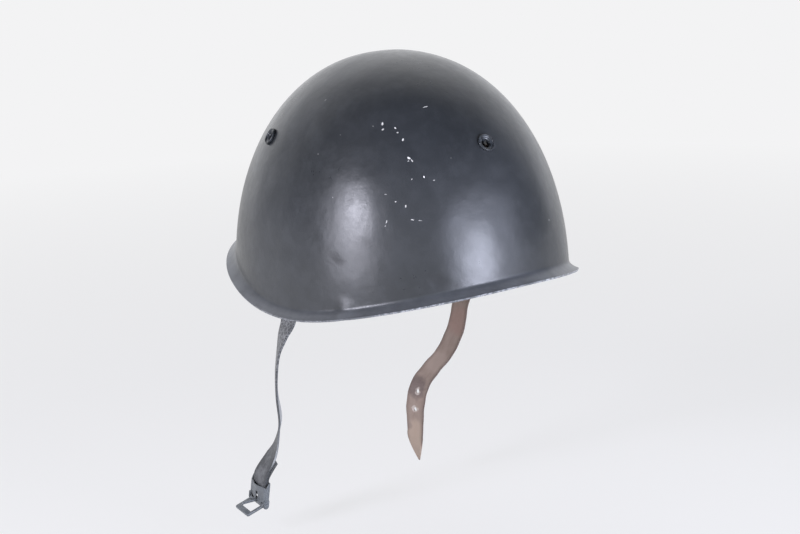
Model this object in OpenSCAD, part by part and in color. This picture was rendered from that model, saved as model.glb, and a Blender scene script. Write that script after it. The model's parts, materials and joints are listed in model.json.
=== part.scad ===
// Parade helmet: a one-piece pressed steel shell with three vents, a sprung
// liner hoop with a leather lining, and a two-part leather chin strap.
// The wearer faces -Y, the wearer's left is +X and up is +Z.
// The origin is the head seat: the centre of the lining, level with the hoop's lower edge.

/* [Shell] */
// Half length of the dome from its centre to the front wall
half_front = 132; // [120:1:145]
// Half length of the dome from its centre to the rear wall
half_back = 136; // [124:1:150]
// Half width of the dome
half_width = 111.5; // [104:0.5:122]
// Fullness of the plan outline, where 2 is an ellipse
plan_power = 2.17; // [2:0.01:2.5]
// Height of the crown above the side rim
dome_h = 173; // [160:1:190]
// Height of the widest part of the dome above the side rim
dome_base = 6; // [0:1:12]
// Fullness of the front profile
front_power = 2.0; // [1.9:0.01:2.4]
// Fullness of the side profile
side_power = 2.2; // [2:0.01:2.5]
// Fullness of the rear profile
rear_power = 2.17; // [2:0.01:2.4]
// Thickness of the steel
wall = 1.3; // [0.9:0.1:2]
// Height of the head seat above the side rim
seat_h = 40; // [34:1:46]

/* [Rim] */
// Height of the front rim above the side rim
rim_front = 30; // [20:1:36]
// Height of the rear rim above the side rim
rim_rear = 24; // [10:1:30]
// Extra height of the rim at the four quarters
rim_quarter = 1.5; // [0:0.1:4]
// Amount by which the lowest point of the rim lies behind the middle
rim_skew = 7; // [0:0.5:12]
// Length of the turned-out rim at the front
flare_front = 17; // [10:0.5:22]
// Length of the turned-out rim at the sides
flare_side = 9; // [6:0.5:14]
// Length of the turned-out rim at the rear
flare_rear = 10; // [6:0.5:16]
// Angle of the front flare from upright
flare_front_angle = 35; // [25:1:55]
// Angle of the side flare from upright
flare_side_angle = 44; // [30:1:60]
// Angle of the rear flare from upright
flare_rear_angle = 51; // [35:1:65]

/* [Vents] */
// Angle of each side vent from the front
vent_angle = 67; // [62:1:70]
// Height of the vents above the side rim
vent_h = 117.5; // [110:0.5:125]
// Radius of the hole through a vent bush
vent_bore_r = 3; // [2:0.1:3.5]
// Thickness of a bush's tube
bush_wall = 0.9; // [0.6:0.1:1.3]
// Radius of a bush's outer flange
bush_flange_r = 6.3; // [5.5:0.1:7.5]
// Height of a bush's outer flange
bush_flange_h = 1.9; // [1:0.1:2.5]
// Radius of the washer under a bush's inner flange
washer_r = 6.6; // [5.8:0.1:7.5]
// Thickness of that washer
washer_t = 0.8; // [0.5:0.1:1.2]

/* [Liner] */
// Half width of the steel hoop
hoop_half_width = 86; // [80:0.5:89]
// Half length of the steel hoop
hoop_half_length = 106; // [98:0.5:110]
// Height of the hoop
hoop_h = 20; // [16:1:24]
// Thickness of the hoop
hoop_t = 1; // [0.8:0.1:1.4]
// Width of a liner bracket
bracket_w = 13; // [10:0.5:15]
// Thickness of a liner bracket
bracket_t = 1.2; // [0.8:0.1:1.6]
// Radius of the eye at the top of a bracket
bracket_eye_r = 8; // [7:0.1:9]
// Thickness of the felt between hoop and headband
felt_t = 2; // [1:0.1:3]
// Thickness of the headband leather
band_t = 1.8; // [1.2:0.1:2.4]
// Height of the headband above the seat
band_top = 38; // [32:1:44]
// Depth of the headband below the seat
band_below = 3; // [1:0.5:3.5]

/* [Crown] */
// Number of crown tongues
tongue_count = 8; // [6:1:10]
// Share of each tongue's sector that is leather
tongue_share = 0.85; // [0.7:0.01:0.88]
// Thickness of a tongue
tongue_t = 1.6; // [1.2:0.1:2]
// Height at which a tongue starts above the seat
tongue_foot = 22; // [18:1:26]
// Height of the crown lace above the seat
crown_h = 98; // [90:1:104]
// Radius of the ring that the crown lace follows
lace_ring_r = 28; // [24:0.5:34]
// Distance from the lace ring to a tongue's tip
tongue_tip = 5; // [4.5:0.5:8]
// Diameter of the crown lace
lace_d = 2; // [1.4:0.1:2.4]
// Radius of a lace hole
lace_hole_r = 2.6; // [2.5:0.1:2.8]

/* [Strap fittings] */
// Distance of the strap fittings in front of the helmet's middle
anchor_forward = 18; // [8:1:19]
// Width of a strap anchor
anchor_w = 15; // [12:0.5:16]
// Thickness of an anchor's sheet
anchor_t = 1.1; // [0.8:0.1:1.4]
// Depth of an anchor's barrel below the hoop
anchor_drop = 6; // [5:0.5:9]
// Diameter of the strap loop's wire
loop_wire = 2.6; // [2:0.1:3]
// Distance between the middles of a loop's two bars
loop_h = 15; // [13:0.5:18]
// Radius of a loop's corners at the middle of the wire
loop_corner = 3; // [2:0.5:4]
// Side gap between a loop's arms and what they hold
loop_gap = 1.2; // [0.6:0.1:2]
// Clearance round a turning wire or pin
turn_gap = 0.25; // [0.15:0.05:0.4]

/* [Straps] */
// Width of the straps
strap_w = 18; // [14:0.5:20]
// Thickness of the straps
strap_t = 1.6; // [1.4:0.1:2.4]
// Length of the leather folded back at a loop
fold_l = 24; // [20:1:30]
// Radius of an adjusting hole
adjust_hole_r = 1.8; // [1:0.1:2.2]
// Length of the folded tail, in steps of the strap's route
tail_steps = 15; // [11:1:18]

/* [Buckle] */
// Width of the buckle sleeve
sleeve_w = 23; // [22:0.5:26]
// Height of the buckle sleeve
sleeve_h = 15; // [12:0.5:20]
// Thickness of the sleeve's sheet
sleeve_t = 0.8; // [0.6:0.1:1]
// Bulge that the sleeve's front would reach level with its back plate's top
sleeve_bulge = 3.9; // [2:0.1:4]
// Depth of the front plate's mouth below the back plate's top
mouth_drop = 3.3; // [1:0.1:4]
// Radius of the buckle's hinge pin
pin_r = 1.1; // [0.8:0.1:1.4]
// Thickness of the barrels that turn on the pin
barrel_t = 0.9; // [0.6:0.1:1.2]
// Width of the buckle frame
frame_w = 19; // [15:0.5:19.5]
// Length of the frame from the pin to its outer edge
frame_l = 15.6; // [14:0.1:20]
// Width of the frame's outer bar
frame_bar = 4.4; // [2.5:0.1:5]
// Width of the frame's side bars
frame_side = 2.4; // [1.6:0.1:3]
// Thickness of the frame
frame_t = 1.6; // [1.2:0.1:2]
// Angle by which the frame stands out from hanging
frame_angle = 66; // [45:1:75]
// Angle by which the prong stands up from the frame
prong_angle = 18; // [0:1:25]
// Width of the prong
prong_w = 2.2; // [1.6:0.1:2.8]
// Thickness of the prong
prong_t = 1.6; // [1.2:0.1:2]
// Height of the slot for the prong in the sleeve's front plate
prong_slot_h = 6; // [4:0.5:8]

/* [Fasteners] */
// Radius of a rivet's shank
rivet_r = 1.5; // [1.2:0.1:1.8]
// Radius of a rivet's head
rivet_head_r = 2.8; // [2.4:0.1:3.4]
// Height of a rivet's head
rivet_head_h = 1.1; // [0.8:0.1:1.5]
// Radius of a strap rivet's head
strap_rivet_head_r = 4; // [3.2:0.1:4.6]

/* [Hidden] */

// Gap left between faces of fixed pieces that lie on each other
seat_gap = 0.05;
// Clearance round a fixed rivet or tube in its hole
hole_gap = 0.1;
// Allowance for the hoop's curve under a flat rivet tail
curve_gap = 0.25;
// Allowance for the shell's curve under a flat bracket eye
eye_gap = 0.55;
shell_steps = 72;
dome_rings = 16;
flare_rings = 4;
hoop_steps = 72;

// Small vector helpers
function unit(v) = v / norm(v);
function bezier(a, b, c, d, k) = pow(1 - k, 3) * a + 3 * k * pow(1 - k, 2) * b
    + 3 * k * k * (1 - k) * c + k * k * k * d;

// Angles in plan run from the front towards the wearer's left.
function by_side(front, side, rear, t) = side + ((cos(t) > 0 ? front : rear) - side) * pow(cos(t), 2);
function plan_r(t) = pow(pow(abs(sin(t)) / half_width, plan_power)
    + pow(abs(cos(t)) / (cos(t) > 0 ? half_front : half_back), plan_power), -1 / plan_power);
function profile_power(t) = by_side(front_power, side_power, rear_power, t);
function in_plan(t, r, z) = [r * sin(t), -r * cos(t), z];

// Outer face of the dome. Heights here are above the side rim.
dome_rise = dome_h - dome_base;
function dome_r(t, z) = plan_r(t)
    * pow(1 - pow((z - dome_base) / dome_rise, profile_power(t)), 1 / profile_power(t));
function rim_z(t) = by_side(rim_front, 0, rim_rear, t) + rim_quarter * pow(sin(2 * t), 2)
    + rim_skew * pow(sin(t), 2) * cos(t);
function flare_l(t) = by_side(flare_front, flare_side, flare_rear, t);
function flare_a(t) = by_side(flare_front_angle, flare_side_angle, flare_rear_angle, t);
function bend_z(t) = rim_z(t) + flare_l(t) * cos(flare_a(t));
function dome_end(t) = acos(pow(max(0, (bend_z(t) - dome_base) / dome_rise), profile_power(t) / 2));

// Profile points in (radius, height above the side rim), from the crown down
function dome_point(t, a) = [plan_r(t) * pow(sin(a), 2 / profile_power(t)),
    dome_base + dome_rise * pow(cos(a), 2 / profile_power(t))];
function flare_point(t, k) =
    let(a = dome_end(t), start = dome_point(t, a), down = unit(start - dome_point(t, a - 1)),
        end = start + flare_l(t) * [sin(flare_a(t)), -cos(flare_a(t))],
        turn = start + 0.4 * flare_l(t) * down)
    pow(1 - k, 2) * start + 2 * k * (1 - k) * turn + k * k * end;
function shell_point(t, row) = row <= dome_rings
    ? dome_point(t, dome_end(t) * row / dome_rings)
    : flare_point(t, (row - dome_rings) / flare_rings);
function shell_xyz(t, row) = let(p = shell_point(t, row)) in_plan(t, p[0], p[1] - seat_h);
function shell_normal(t, row) =
    let(along = shell_xyz(t + 1, row) - shell_xyz(t - 1, row),
        down = shell_xyz(t, min(row + 0.2, dome_rings + flare_rings)) - shell_xyz(t, row - 0.2))
    unit(cross(down, along));

// A point and the outward normal at a height above the side rim
function dome_at(t, z) = in_plan(t, dome_r(t, z), z - seat_h);
function dome_normal(t, z) =
    unit(cross(dome_at(t + 0.5, z) - dome_at(t - 0.5, z), dome_at(t, z + 0.5) - dome_at(t, z - 0.5)));

// Where each vent sits, and the frame with +Z outwards there
function vent_t(side) = side == "rear" ? 180 : side == "left" ? vent_angle : -vent_angle;
function vent_pos(side) = dome_at(vent_t(side), vent_h);
function vent_dir(side) = dome_normal(vent_t(side), vent_h);
module at_vent(side) {
    n = vent_dir(side);
    translate(vent_pos(side)) rotate([0, acos(n[2]), atan2(n[1], n[0])]) children();
}

// Depths below the outer face at a vent
eye_top = wall + eye_gap;
washer_top = eye_top + bracket_t + seat_gap;
clinch_top = washer_top + washer_t + seat_gap;
clinch_t = 0.8;
tube_r = vent_bore_r + bush_wall;

// Oval rings of the liner, as outlines at a distance inside the hoop's outer face
function oval(inset, steps) = [for (i = [0 : steps - 1]) let(t = 360 * i / steps)
    [(hoop_half_width - inset) * sin(t), -(hoop_half_length - inset) * cos(t)]];
module oval_ring(outer, inner, low, high) {
    translate([0, 0, low]) linear_extrude(high - low) difference() {
        polygon(oval(outer, hoop_steps));
        polygon(oval(inner, hoop_steps));
    }
}
// Frame on the hoop's outer face, with +X out along the face's normal
function hoop_normal(p) = unit([p[0] / pow(hoop_half_width, 2), p[1] / pow(hoop_half_length, 2), 0]);
function hoop_turn(p) = let(n = hoop_normal(p)) atan2(n[1], n[0]);
module on_hoop(p) {
    translate(p) rotate(hoop_turn(p)) children();
}
function hoop_point(t) = [hoop_half_width * sin(t), -hoop_half_length * cos(t), 0];

// A rivet along X: its head stands on the plane x = 0 and its shank goes in by the grip
module rivet_shape(grip, head_r = rivet_head_r) {
    rotate([0, 90, 0]) rotate_extrude($fn = 48) polygon(concat(
        [[0, -grip - rivet_head_h * 0.6], [rivet_r * 1.4, -grip - rivet_head_h * 0.6],
            [rivet_r * 1.4, -grip - seat_gap], [rivet_r, -grip - seat_gap],
            [rivet_r, seat_gap], [head_r, seat_gap]],
        [for (a = [15 : 15 : 90]) [head_r * cos(a), seat_gap + rivet_head_h * sin(a)]]));
}
module rivet_hole(depth) {
    translate([-depth, 0, 0]) rotate([0, 90, 0]) cylinder(r = rivet_r + hole_gap, h = 2 * depth, $fn = 48);
}

// A ribbon polygon of even thickness along a list of points
function ribbon_side(path, half) = [for (i = [0 : len(path) - 1])
    let(d = unit(path[min(i + 1, len(path) - 1)] - path[max(i - 1, 0)])) path[i] + half * [-d[1], d[0]]];
function reverse(list) = [for (i = [len(list) - 1 : -1 : 0]) list[i]];
module ribbon(path, thick, width) {
    rotate([90, 0, 0]) linear_extrude(width, center = true)
        polygon(concat(ribbon_side(path, thick / 2), reverse(ribbon_side(path, -thick / 2))));
}

// Closed grid surface from rings of points, capped at both ends
module skin_of(rings) {
    n = len(rings[0]);
    m = len(rings);
    polyhedron(
        points = [for (ring = rings) for (p = ring) p],
        faces = concat(
            [for (i = [0 : m - 2]) for (j = [0 : n - 1]) let(k = (j + 1) % n)
                each [[i * n + j, i * n + k, (i + 1) * n + k], [i * n + j, (i + 1) * n + k, (i + 1) * n + j]]],
            [[for (j = [n - 1 : -1 : 0]) j], [for (j = [0 : n - 1]) (m - 1) * n + j]]));
}

module shell() {
    rows = dome_rings + flare_rings;
    n = shell_steps;
    function t_of(i) = 360 * (i % n) / n;
    outer = [for (r = [1 : rows]) for (i = [0 : n - 1]) shell_xyz(t_of(i), r)];
    inner = [for (r = [1 : rows]) for (i = [0 : n - 1])
        shell_xyz(t_of(i), r) - wall * shell_normal(t_of(i), r)];
    apex = [[0, 0, dome_h - seat_h], [0, 0, dome_h - seat_h - wall]];
    off = rows * n;
    top = 2 * off;
    grid = [for (r = [0 : rows - 2]) for (i = [0 : n - 1])
        let(a = r * n + i, b = r * n + (i + 1) % n, c = a + n, d = b + n)
        each [[a, b, c], [b, d, c], [off + a, off + c, off + b], [off + b, off + c, off + d]]];
    caps = [for (i = [0 : n - 1]) let(b = (i + 1) % n)
        each [[top, b, i], [top + 1, off + i, off + b]]];
    edge = [for (i = [0 : n - 1]) let(a = (rows - 1) * n + i, b = (rows - 1) * n + (i + 1) % n)
        each [[a, b, off + a], [b, off + b, off + a]]];
    color("#45494f") difference() {
        polyhedron(points = concat(outer, inner, apex), faces = concat(grid, caps, edge));
        for (side = ["left", "right", "rear"]) {
            at_vent(side) cylinder(r = tube_r + hole_gap, h = 12, center = true, $fn = 48);
        }
    }
}

// Hollow rivet, clinched over the washer inside. Its outer flange is a dish with a rolled lip,
// which runs down in a smooth funnel to the bore.
clinch_w = 2.4;
bush_lip_r = 0.5;
funnel_depth = 0.6;
module vent_bush(side) {
    lip = [bush_flange_r - bush_lip_r, bush_flange_h - bush_lip_r];
    rim = lip - [bush_lip_r, 0];
    throat = [vent_bore_r, -funnel_depth];
    color("#3d4147") at_vent(side) rotate_extrude($fn = 64) polygon(concat(
        [throat, [vent_bore_r, -clinch_top - clinch_t], [vent_bore_r + clinch_w, -clinch_top - clinch_t],
            [vent_bore_r + clinch_w, -clinch_top], [tube_r, -clinch_top], [tube_r, seat_gap],
            [bush_flange_r, seat_gap]],
        [for (a = [0 : 22.5 : 180]) lip + bush_lip_r * [cos(a), sin(a)]],
        [for (k = [0.1 : 0.1 : 0.9]) bezier(rim, rim - [0.4, 0.9], throat + [0, 1.55], throat, k)]));
}

module vent_washer(side) {
    color("#8d9094") at_vent(side) translate([0, 0, -washer_top - washer_t]) difference() {
        cylinder(r = washer_r, h = washer_t, $fn = 64);
        translate([0, 0, -1]) cylinder(r = tube_r + hole_gap, h = washer_t + 2, $fn = 48);
    }
}

// Where a bracket's upright plane meets the hoop, measured outwards from the vent
function bracket_turn(side) = let(n = vent_dir(side)) atan2(n[1], n[0]);
function bracket_reach(side) =
    let(p = vent_pos(side), a = bracket_turn(side), ux = cos(a), uy = sin(a),
        kx = 1 / pow(hoop_half_width, 2), ky = 1 / pow(hoop_half_length, 2),
        qa = ux * ux * kx + uy * uy * ky, qb = 2 * (p[0] * ux * kx + p[1] * uy * ky),
        qc = p[0] * p[0] * kx + p[1] * p[1] * ky - 1)
    (-qb + sqrt(qb * qb - 4 * qa * qc)) / (2 * qa);
module at_bracket(side) {
    p = vent_pos(side);
    translate([p[0], p[1], 0]) rotate(bracket_turn(side)) children();
}
bracket_foot_low = 1.5;
// Straight lead of a bracket's bend at each end, and its lean away from the shell at the top
bracket_lead = 18;
bracket_lean = 0.14;
bracket_rivet_z = [5, 15];

// Flat spring from a vent's eye down to the hoop
module liner_bracket(side) {
    n = vent_dir(side);
    out = [norm([n[0], n[1]]), n[2]];
    down = [out[1], -out[0]];
    eye = [0, vent_pos(side)[2]] - (eye_top + bracket_t / 2) * out;
    foot_x = bracket_reach(side) + seat_gap + bracket_t / 2;
    start = eye + washer_r * down;
    foot_top = [foot_x, hoop_h - 1];
    path = concat(
        [for (k = [0 : 0.1 : 1])
            bezier(start, start + bracket_lead * unit(down - bracket_lean * out),
                foot_top + [0, bracket_lead], foot_top, k)],
        [[foot_x, bracket_foot_low]]);
    color("#7c8086") difference() {
        union() {
            at_vent(side) translate([0, 0, -eye_top - bracket_t])
                cylinder(r = bracket_eye_r, h = bracket_t, $fn = 64);
            at_bracket(side) ribbon(path, bracket_t, bracket_w);
        }
        at_vent(side) cylinder(r = tube_r + hole_gap, h = 20, center = true, $fn = 48);
        for (z = bracket_rivet_z) {
            at_bracket(side) translate([foot_x, 0, z]) rivet_hole(4);
        }
    }
}

module bracket_rivets() {
    color("#6d7176") for (side = ["left", "right", "rear"]) for (z = bracket_rivet_z) {
        at_bracket(side) translate([bracket_reach(side) + seat_gap + bracket_t, 0, z])
            rivet_shape(hoop_t + bracket_t + seat_gap + curve_gap);
    }
}

// Strap anchors sit on the hoop's sides, a little forward.
anchor_pos = [hoop_half_width * sqrt(1 - pow(anchor_forward / hoop_half_length, 2)), -anchor_forward, 0];
anchor_rivet_y = [-4, 4];
anchor_rivet_z = 10;
module mirrored(side) {
    if (side == "left") children();
    if (side == "right") mirror([1, 0, 0]) children();
}

headband_rivet_t = [20, 45, 112, 148];
headband_rivet_z = hoop_h / 2;
module headband_places() {
    for (side = ["left", "right"]) for (t = headband_rivet_t) {
        mirrored(side) on_hoop(hoop_point(t)) translate([0, 0, headband_rivet_z]) children();
    }
}

module hoop_holes() {
    for (side = ["left", "right", "rear"]) for (z = bracket_rivet_z) {
        at_bracket(side) translate([bracket_reach(side), 0, z]) rivet_hole(4);
    }
    for (side = ["left", "right"]) for (y = anchor_rivet_y) {
        mirrored(side) on_hoop(anchor_pos) translate([0, y, anchor_rivet_z]) rivet_hole(4);
    }
}

module liner_hoop() {
    color("#6b7076") difference() {
        oval_ring(0, hoop_t, 0, hoop_h);
        hoop_holes();
        headband_places() rivet_hole(4);
    }
}

// Felt strip inside the hoop, cut away round the rivets' tails
felt_out = hoop_t + 0.1;
module felt_band() {
    color("#8a8172") difference() {
        oval_ring(felt_out, felt_out + felt_t, 1, hoop_h - 1);
        headband_places() rivet_hole(8);
        for (side = ["left", "right", "rear"]) for (z = bracket_rivet_z) {
            at_bracket(side) translate([bracket_reach(side) - 6, 0, z])
                rotate([0, 90, 0]) cylinder(r = rivet_r * 1.4 + 0.3, h = 8, $fn = 32);
        }
        for (side = ["left", "right"]) for (y = anchor_rivet_y) {
            mirrored(side) on_hoop(anchor_pos) translate([-6, y, anchor_rivet_z])
                rotate([0, 90, 0]) cylinder(r = rivet_r * 1.4 + 0.3, h = 8, $fn = 32);
        }
    }
}

band_out = felt_out + felt_t + 0.1;
module headband() {
    color("#8a5a3a") difference() {
        oval_ring(band_out, band_out + band_t, -band_below, band_top);
        headband_places() rivet_hole(10);
    }
}

module headband_rivets() {
    color("#b09a62") headband_places() rivet_shape(band_out + band_t + curve_gap);
}

// Crown tongues: each rises from the headband and leans in to the lace ring.
tongue_out = band_out + band_t + 0.1;
tongue_end = lace_ring_r - tongue_tip;
function tongue_point(t, a, inset) =
    let(base = [(hoop_half_width - tongue_out) * sin(t), -(hoop_half_length - tongue_out) * cos(t)],
        share = (norm(base) - tongue_end) * cos(a) + tongue_end,
        lean = unit([cos(a) * unit(base)[0] * (crown_h - tongue_foot), cos(a) * unit(base)[1]
            * (crown_h - tongue_foot), sin(a) * norm(base)]))
    [unit(base)[0] * share, unit(base)[1] * share, tongue_foot + (crown_h - tongue_foot) * sin(a)]
        - inset * lean;
module crown_tongue(number) {
    mid = 360 * (number - 0.5) / tongue_count;
    half = 180 / tongue_count * tongue_share;
    steps = 6;
    rows = 10;
    function ring(r) = let(a = 90 * r / rows) concat(
        [for (j = [0 : steps]) tongue_point(mid - half + 2 * half * j / steps, a, tongue_t)],
        [for (j = [steps : -1 : 0]) tongue_point(mid - half + 2 * half * j / steps, a, 0)]);
    color("#93623f") difference() {
        skin_of([for (r = [0 : rows]) ring(r)]);
        for (s = [-1, 1]) {
            translate(in_plan(mid + s * 90 / tongue_count, lace_ring_r, crown_h - 15))
                cylinder(r = lace_hole_r, h = 20, $fn = 32);
        }
    }
}

// The lace dives under each tongue between its two holes. Its knot is a swelling at the rear.
lace_swing = 3.2;
lace_sink = 0.3;
knot_share = 1.4;
knot_turn = 3;
function lace_point(t) = in_plan(t, lace_ring_r,
    crown_h - lace_sink - tongue_t / 2 + lace_swing * cos(tongue_count * t));
function lace_r(t) = lace_d / 2 * (1 + knot_share * exp(-pow((t - 180) / knot_turn, 2)));
module crown_lace() {
    rings = 96;
    sides = 8;
    function frame_ring(i) = let(t = 360 * i / rings, p = lace_point(t),
        d = unit(lace_point(t + 1) - lace_point(t - 1)), a = unit(cross(d, [0, 0, 1])), b = cross(a, d))
        [for (j = [0 : sides - 1]) p + lace_r(t) * (a * cos(360 * j / sides) + b * sin(360 * j / sides))];
    color("#c9bda2") polyhedron(
        points = [for (i = [0 : rings - 1]) each frame_ring(i)],
        faces = [for (i = [0 : rings - 1]) for (j = [0 : sides - 1])
            let(a = i * sides + j, b = i * sides + (j + 1) % sides,
                c = ((i + 1) % rings) * sides + j, d = ((i + 1) % rings) * sides + (j + 1) % sides)
            each [[a, b, d], [a, d, c]]]);
}

// Anchor: a plate on the hoop whose lower end is rolled round the loop's top bar
barrel_bore = loop_wire / 2 + turn_gap;
barrel_x = seat_gap + anchor_t + barrel_bore;
module strap_anchor(side) {
    color("#70757b") mirrored(side) on_hoop(anchor_pos) difference() {
        union() {
            translate([seat_gap, -anchor_w / 2, -anchor_drop]) cube([anchor_t, anchor_w, hoop_h - 2 + anchor_drop]);
            translate([barrel_x, 0, -anchor_drop]) rotate([90, 0, 0])
                cylinder(r = barrel_bore + anchor_t, h = anchor_w, center = true, $fn = 48);
        }
        translate([barrel_x, 0, -anchor_drop]) rotate([90, 0, 0])
            cylinder(r = barrel_bore, h = anchor_w + 2, center = true, $fn = 48);
        for (y = anchor_rivet_y) translate([0, y, anchor_rivet_z]) rivet_hole(4);
    }
}

module anchor_rivets() {
    color("#6d7176") for (side = ["left", "right"]) for (y = anchor_rivet_y) {
        mirrored(side) on_hoop(anchor_pos) translate([seat_gap + anchor_t, y, anchor_rivet_z])
            rivet_shape(hoop_t + anchor_t + seat_gap + curve_gap);
    }
}

// Rectangular wire loop hanging from the anchor's barrel
loop_half_w = max(strap_w, anchor_w) / 2 + loop_gap + loop_wire / 2;
module strap_loop(side) {
    c = loop_corner;
    r = loop_wire / 2;
    color("#5f646a") mirrored(side) on_hoop(anchor_pos) translate([barrel_x, 0, -anchor_drop]) {
        for (z = [0, -loop_h]) translate([0, 0, z]) rotate([90, 0, 0])
            cylinder(r = r, h = 2 * (loop_half_w - c), center = true, $fn = 32);
        for (y = [-1, 1]) {
            translate([0, y * loop_half_w, c - loop_h]) cylinder(r = r, h = loop_h - 2 * c, $fn = 32);
            translate([0, y * (loop_half_w - c), -c]) rotate([90, 0, 90]) rotate(y > 0 ? 0 : 90)
                rotate_extrude(angle = 90, $fn = 48) translate([c, 0]) circle(r, $fn = 32);
            translate([0, y * (loop_half_w - c), c - loop_h]) rotate([90, 0, 90]) rotate(y > 0 ? 270 : 180)
                rotate_extrude(angle = 90, $fn = 48) translate([c, 0]) circle(r, $fn = 32);
        }
    }
}

// Straps. The eye is a folded ribbon round the loop's lower bar, and the rest follows its route.
eye_r = loop_wire / 2 + turn_gap + strap_t / 2;
leaf_x = (strap_t + seat_gap) / 2;
eye_end = -9;
eye_path = concat(
    [[-leaf_x, -fold_l], [-leaf_x, eye_end], [-eye_r * 0.8, eye_end / 2]],
    [for (a = [190 : -20 : -10]) eye_r * [cos(a), sin(a)]],
    [[eye_r * 0.8, eye_end / 2], [leaf_x, eye_end], [leaf_x, -fold_l]]);
strap_rivet_drop = 16;
module at_loop_bar(side) {
    mirrored(side) on_hoop(anchor_pos) translate([barrel_x, 0, -anchor_drop - loop_h]) children();
}
module strap_eye(side) {
    at_loop_bar(side) ribbon(eye_path, strap_t, strap_w);
}
// Where the outer leaf of each fold ends and the route begins
function strap_start(side) =
    let(a = hoop_turn(anchor_pos), x = barrel_x + leaf_x, s = side == "left" ? 1 : -1)
    [s * (anchor_pos[0] + x * cos(a)), anchor_pos[1] + x * sin(a), -anchor_drop - loop_h - fold_l];

// Route stations: x, y, z, turn of the width away from Y, share of full width
left_turn = -hoop_turn(anchor_pos);
left_route = [[87.6, -19.5, -55, 0, 1], [92, -21.5, -66.5, 14, 1], [95.5, -23.5, -79, 30, 1],
    [97, -25.5, -95, 33, 1], [96.5, -27.5, -113, 34, 1], [94, -29, -130, 36, 1],
    [94, -31, -141, 35, 1], [96.5, -33, -153.5, 26, 1], [100.5, -35, -162, 12, 1]];
right_route = [[-79.5, -26.5, -74, -1, 1], [-75, -29.5, -97.5, -8, 1], [-66, -32.5, -114.5, -8, 1],
    [-55, -36, -126.5, -10, 1], [-44.5, -39, -139, -12, 1], [-41, -41, -155.5, -13, 1],
    [-41, -43, -177, -4, 1], [-41.5, -44, -184, -4, 0.95], [-43, -44.5, -193, -4, 0.6],
    [-45.5, -45, -203.5, -4, 0.06]];

// Smooth route through the stations
function catmull(a, b, c, d, k) = 0.5 * (2 * b + (c - a) * k + (2 * a - 5 * b + 4 * c - d) * k * k
    + (3 * b - a - 3 * c + d) * k * k * k);
function smooth(list, per) = let(n = len(list)) concat(
    [for (i = [0 : n - 2]) for (s = [0 : per - 1])
        catmull(list[max(i - 1, 0)], list[i], list[i + 1], list[min(i + 2, n - 1)], s / per)],
    [list[n - 1]]);
function place(s) = [s[0], s[1], s[2]];
function strap_frame(list, i) =
    let(d = unit(place(list[min(i + 1, len(list) - 1)]) - place(list[max(i - 1, 0)])),
        y = [sin(list[i][3]), cos(list[i][3]), 0],
        across = unit(y - (y * d) * d))
    [place(list[i]), across, cross(across, d)];
function strap_ring(list, i, thick, back = 0) =
    let(f = strap_frame(list, i), p = f[0] + back * f[2],
        w = f[1] * strap_w / 2 * list[i][4], n = f[2] * thick / 2)
    [p - w - n, p + w - n, p + w + n, p - w + n];
module strap_run(list, thick) {
    skin_of([for (i = [0 : len(list) - 1]) strap_ring(list, i, thick)]);
}
function strap_axis(list, i) = let(f = strap_frame(list, i)) [f[0], f[2]];

// Buckle frame of reference: +X points away from the wearer, +Z up the strap, and the pin lies along Y.
buckle_at = [109.5, -41, -196];
buckle_turn = [-6, -6, -3];
module at_buckle() {
    translate(buckle_at) rotate(buckle_turn) children();
}
function turn_x(a, v) = [v[0], v[1] * cos(a) - v[2] * sin(a), v[1] * sin(a) + v[2] * cos(a)];
function turn_y(a, v) = [v[0] * cos(a) + v[2] * sin(a), v[1], -v[0] * sin(a) + v[2] * cos(a)];
function turn_z(a, v) = [v[0] * cos(a) - v[1] * sin(a), v[0] * sin(a) + v[1] * cos(a), v[2]];
function in_buckle(x, z) = let(p = buckle_at
    + turn_z(buckle_turn[2], turn_y(buckle_turn[1], turn_x(buckle_turn[0], [x, 0, z]))))
    [p[0], p[1], p[2], -buckle_turn[2], 1];

// Stack of layers in the sleeve, from the front plate back
knuckle_r = pin_r + turn_gap + barrel_t;
sleeve_low = knuckle_r + 0.3;
sleeve_top = sleeve_low + sleeve_h;
front_inner = knuckle_r - sleeve_t;
strap_x = front_inner - 0.3 - strap_t / 2;
tail_t = strap_t * 0.9;
tail_x = strap_x - strap_t / 2 - seat_gap - tail_t / 2;
back_inner = tail_x - tail_t / 2 - 0.15;
sleeve_rivet_z = sleeve_low + sleeve_h / 2;
// Round turn that joins the strap to its folded tail, held back so that the prong can lift
turn_back = 2.4;
turn_r = (strap_x - tail_x + (strap_t + tail_t) / 2) / 2;
turn_mid = sleeve_low + turn_back + turn_r;

// The left strap ends in the sleeve, and the right strap in a bare point.
left_stations = concat([concat(strap_start("left"), [left_turn, 1])], left_route,
    [in_buckle(strap_x - 0.8, sleeve_top + 5), in_buckle(strap_x, sleeve_top - 2),
        in_buckle(strap_x, turn_mid)]);
right_stations = concat([concat(strap_start("right"), [-left_turn, 1])], right_route);
// Adjusting holes, counted in stations along the right strap
adjust_holes = [5.4, 6.2];
steps_per_station = 5;

module strap_rivet_hole(side) {
    at_loop_bar(side) translate([0, 0, -strap_rivet_drop]) rivet_hole(8);
}
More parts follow.
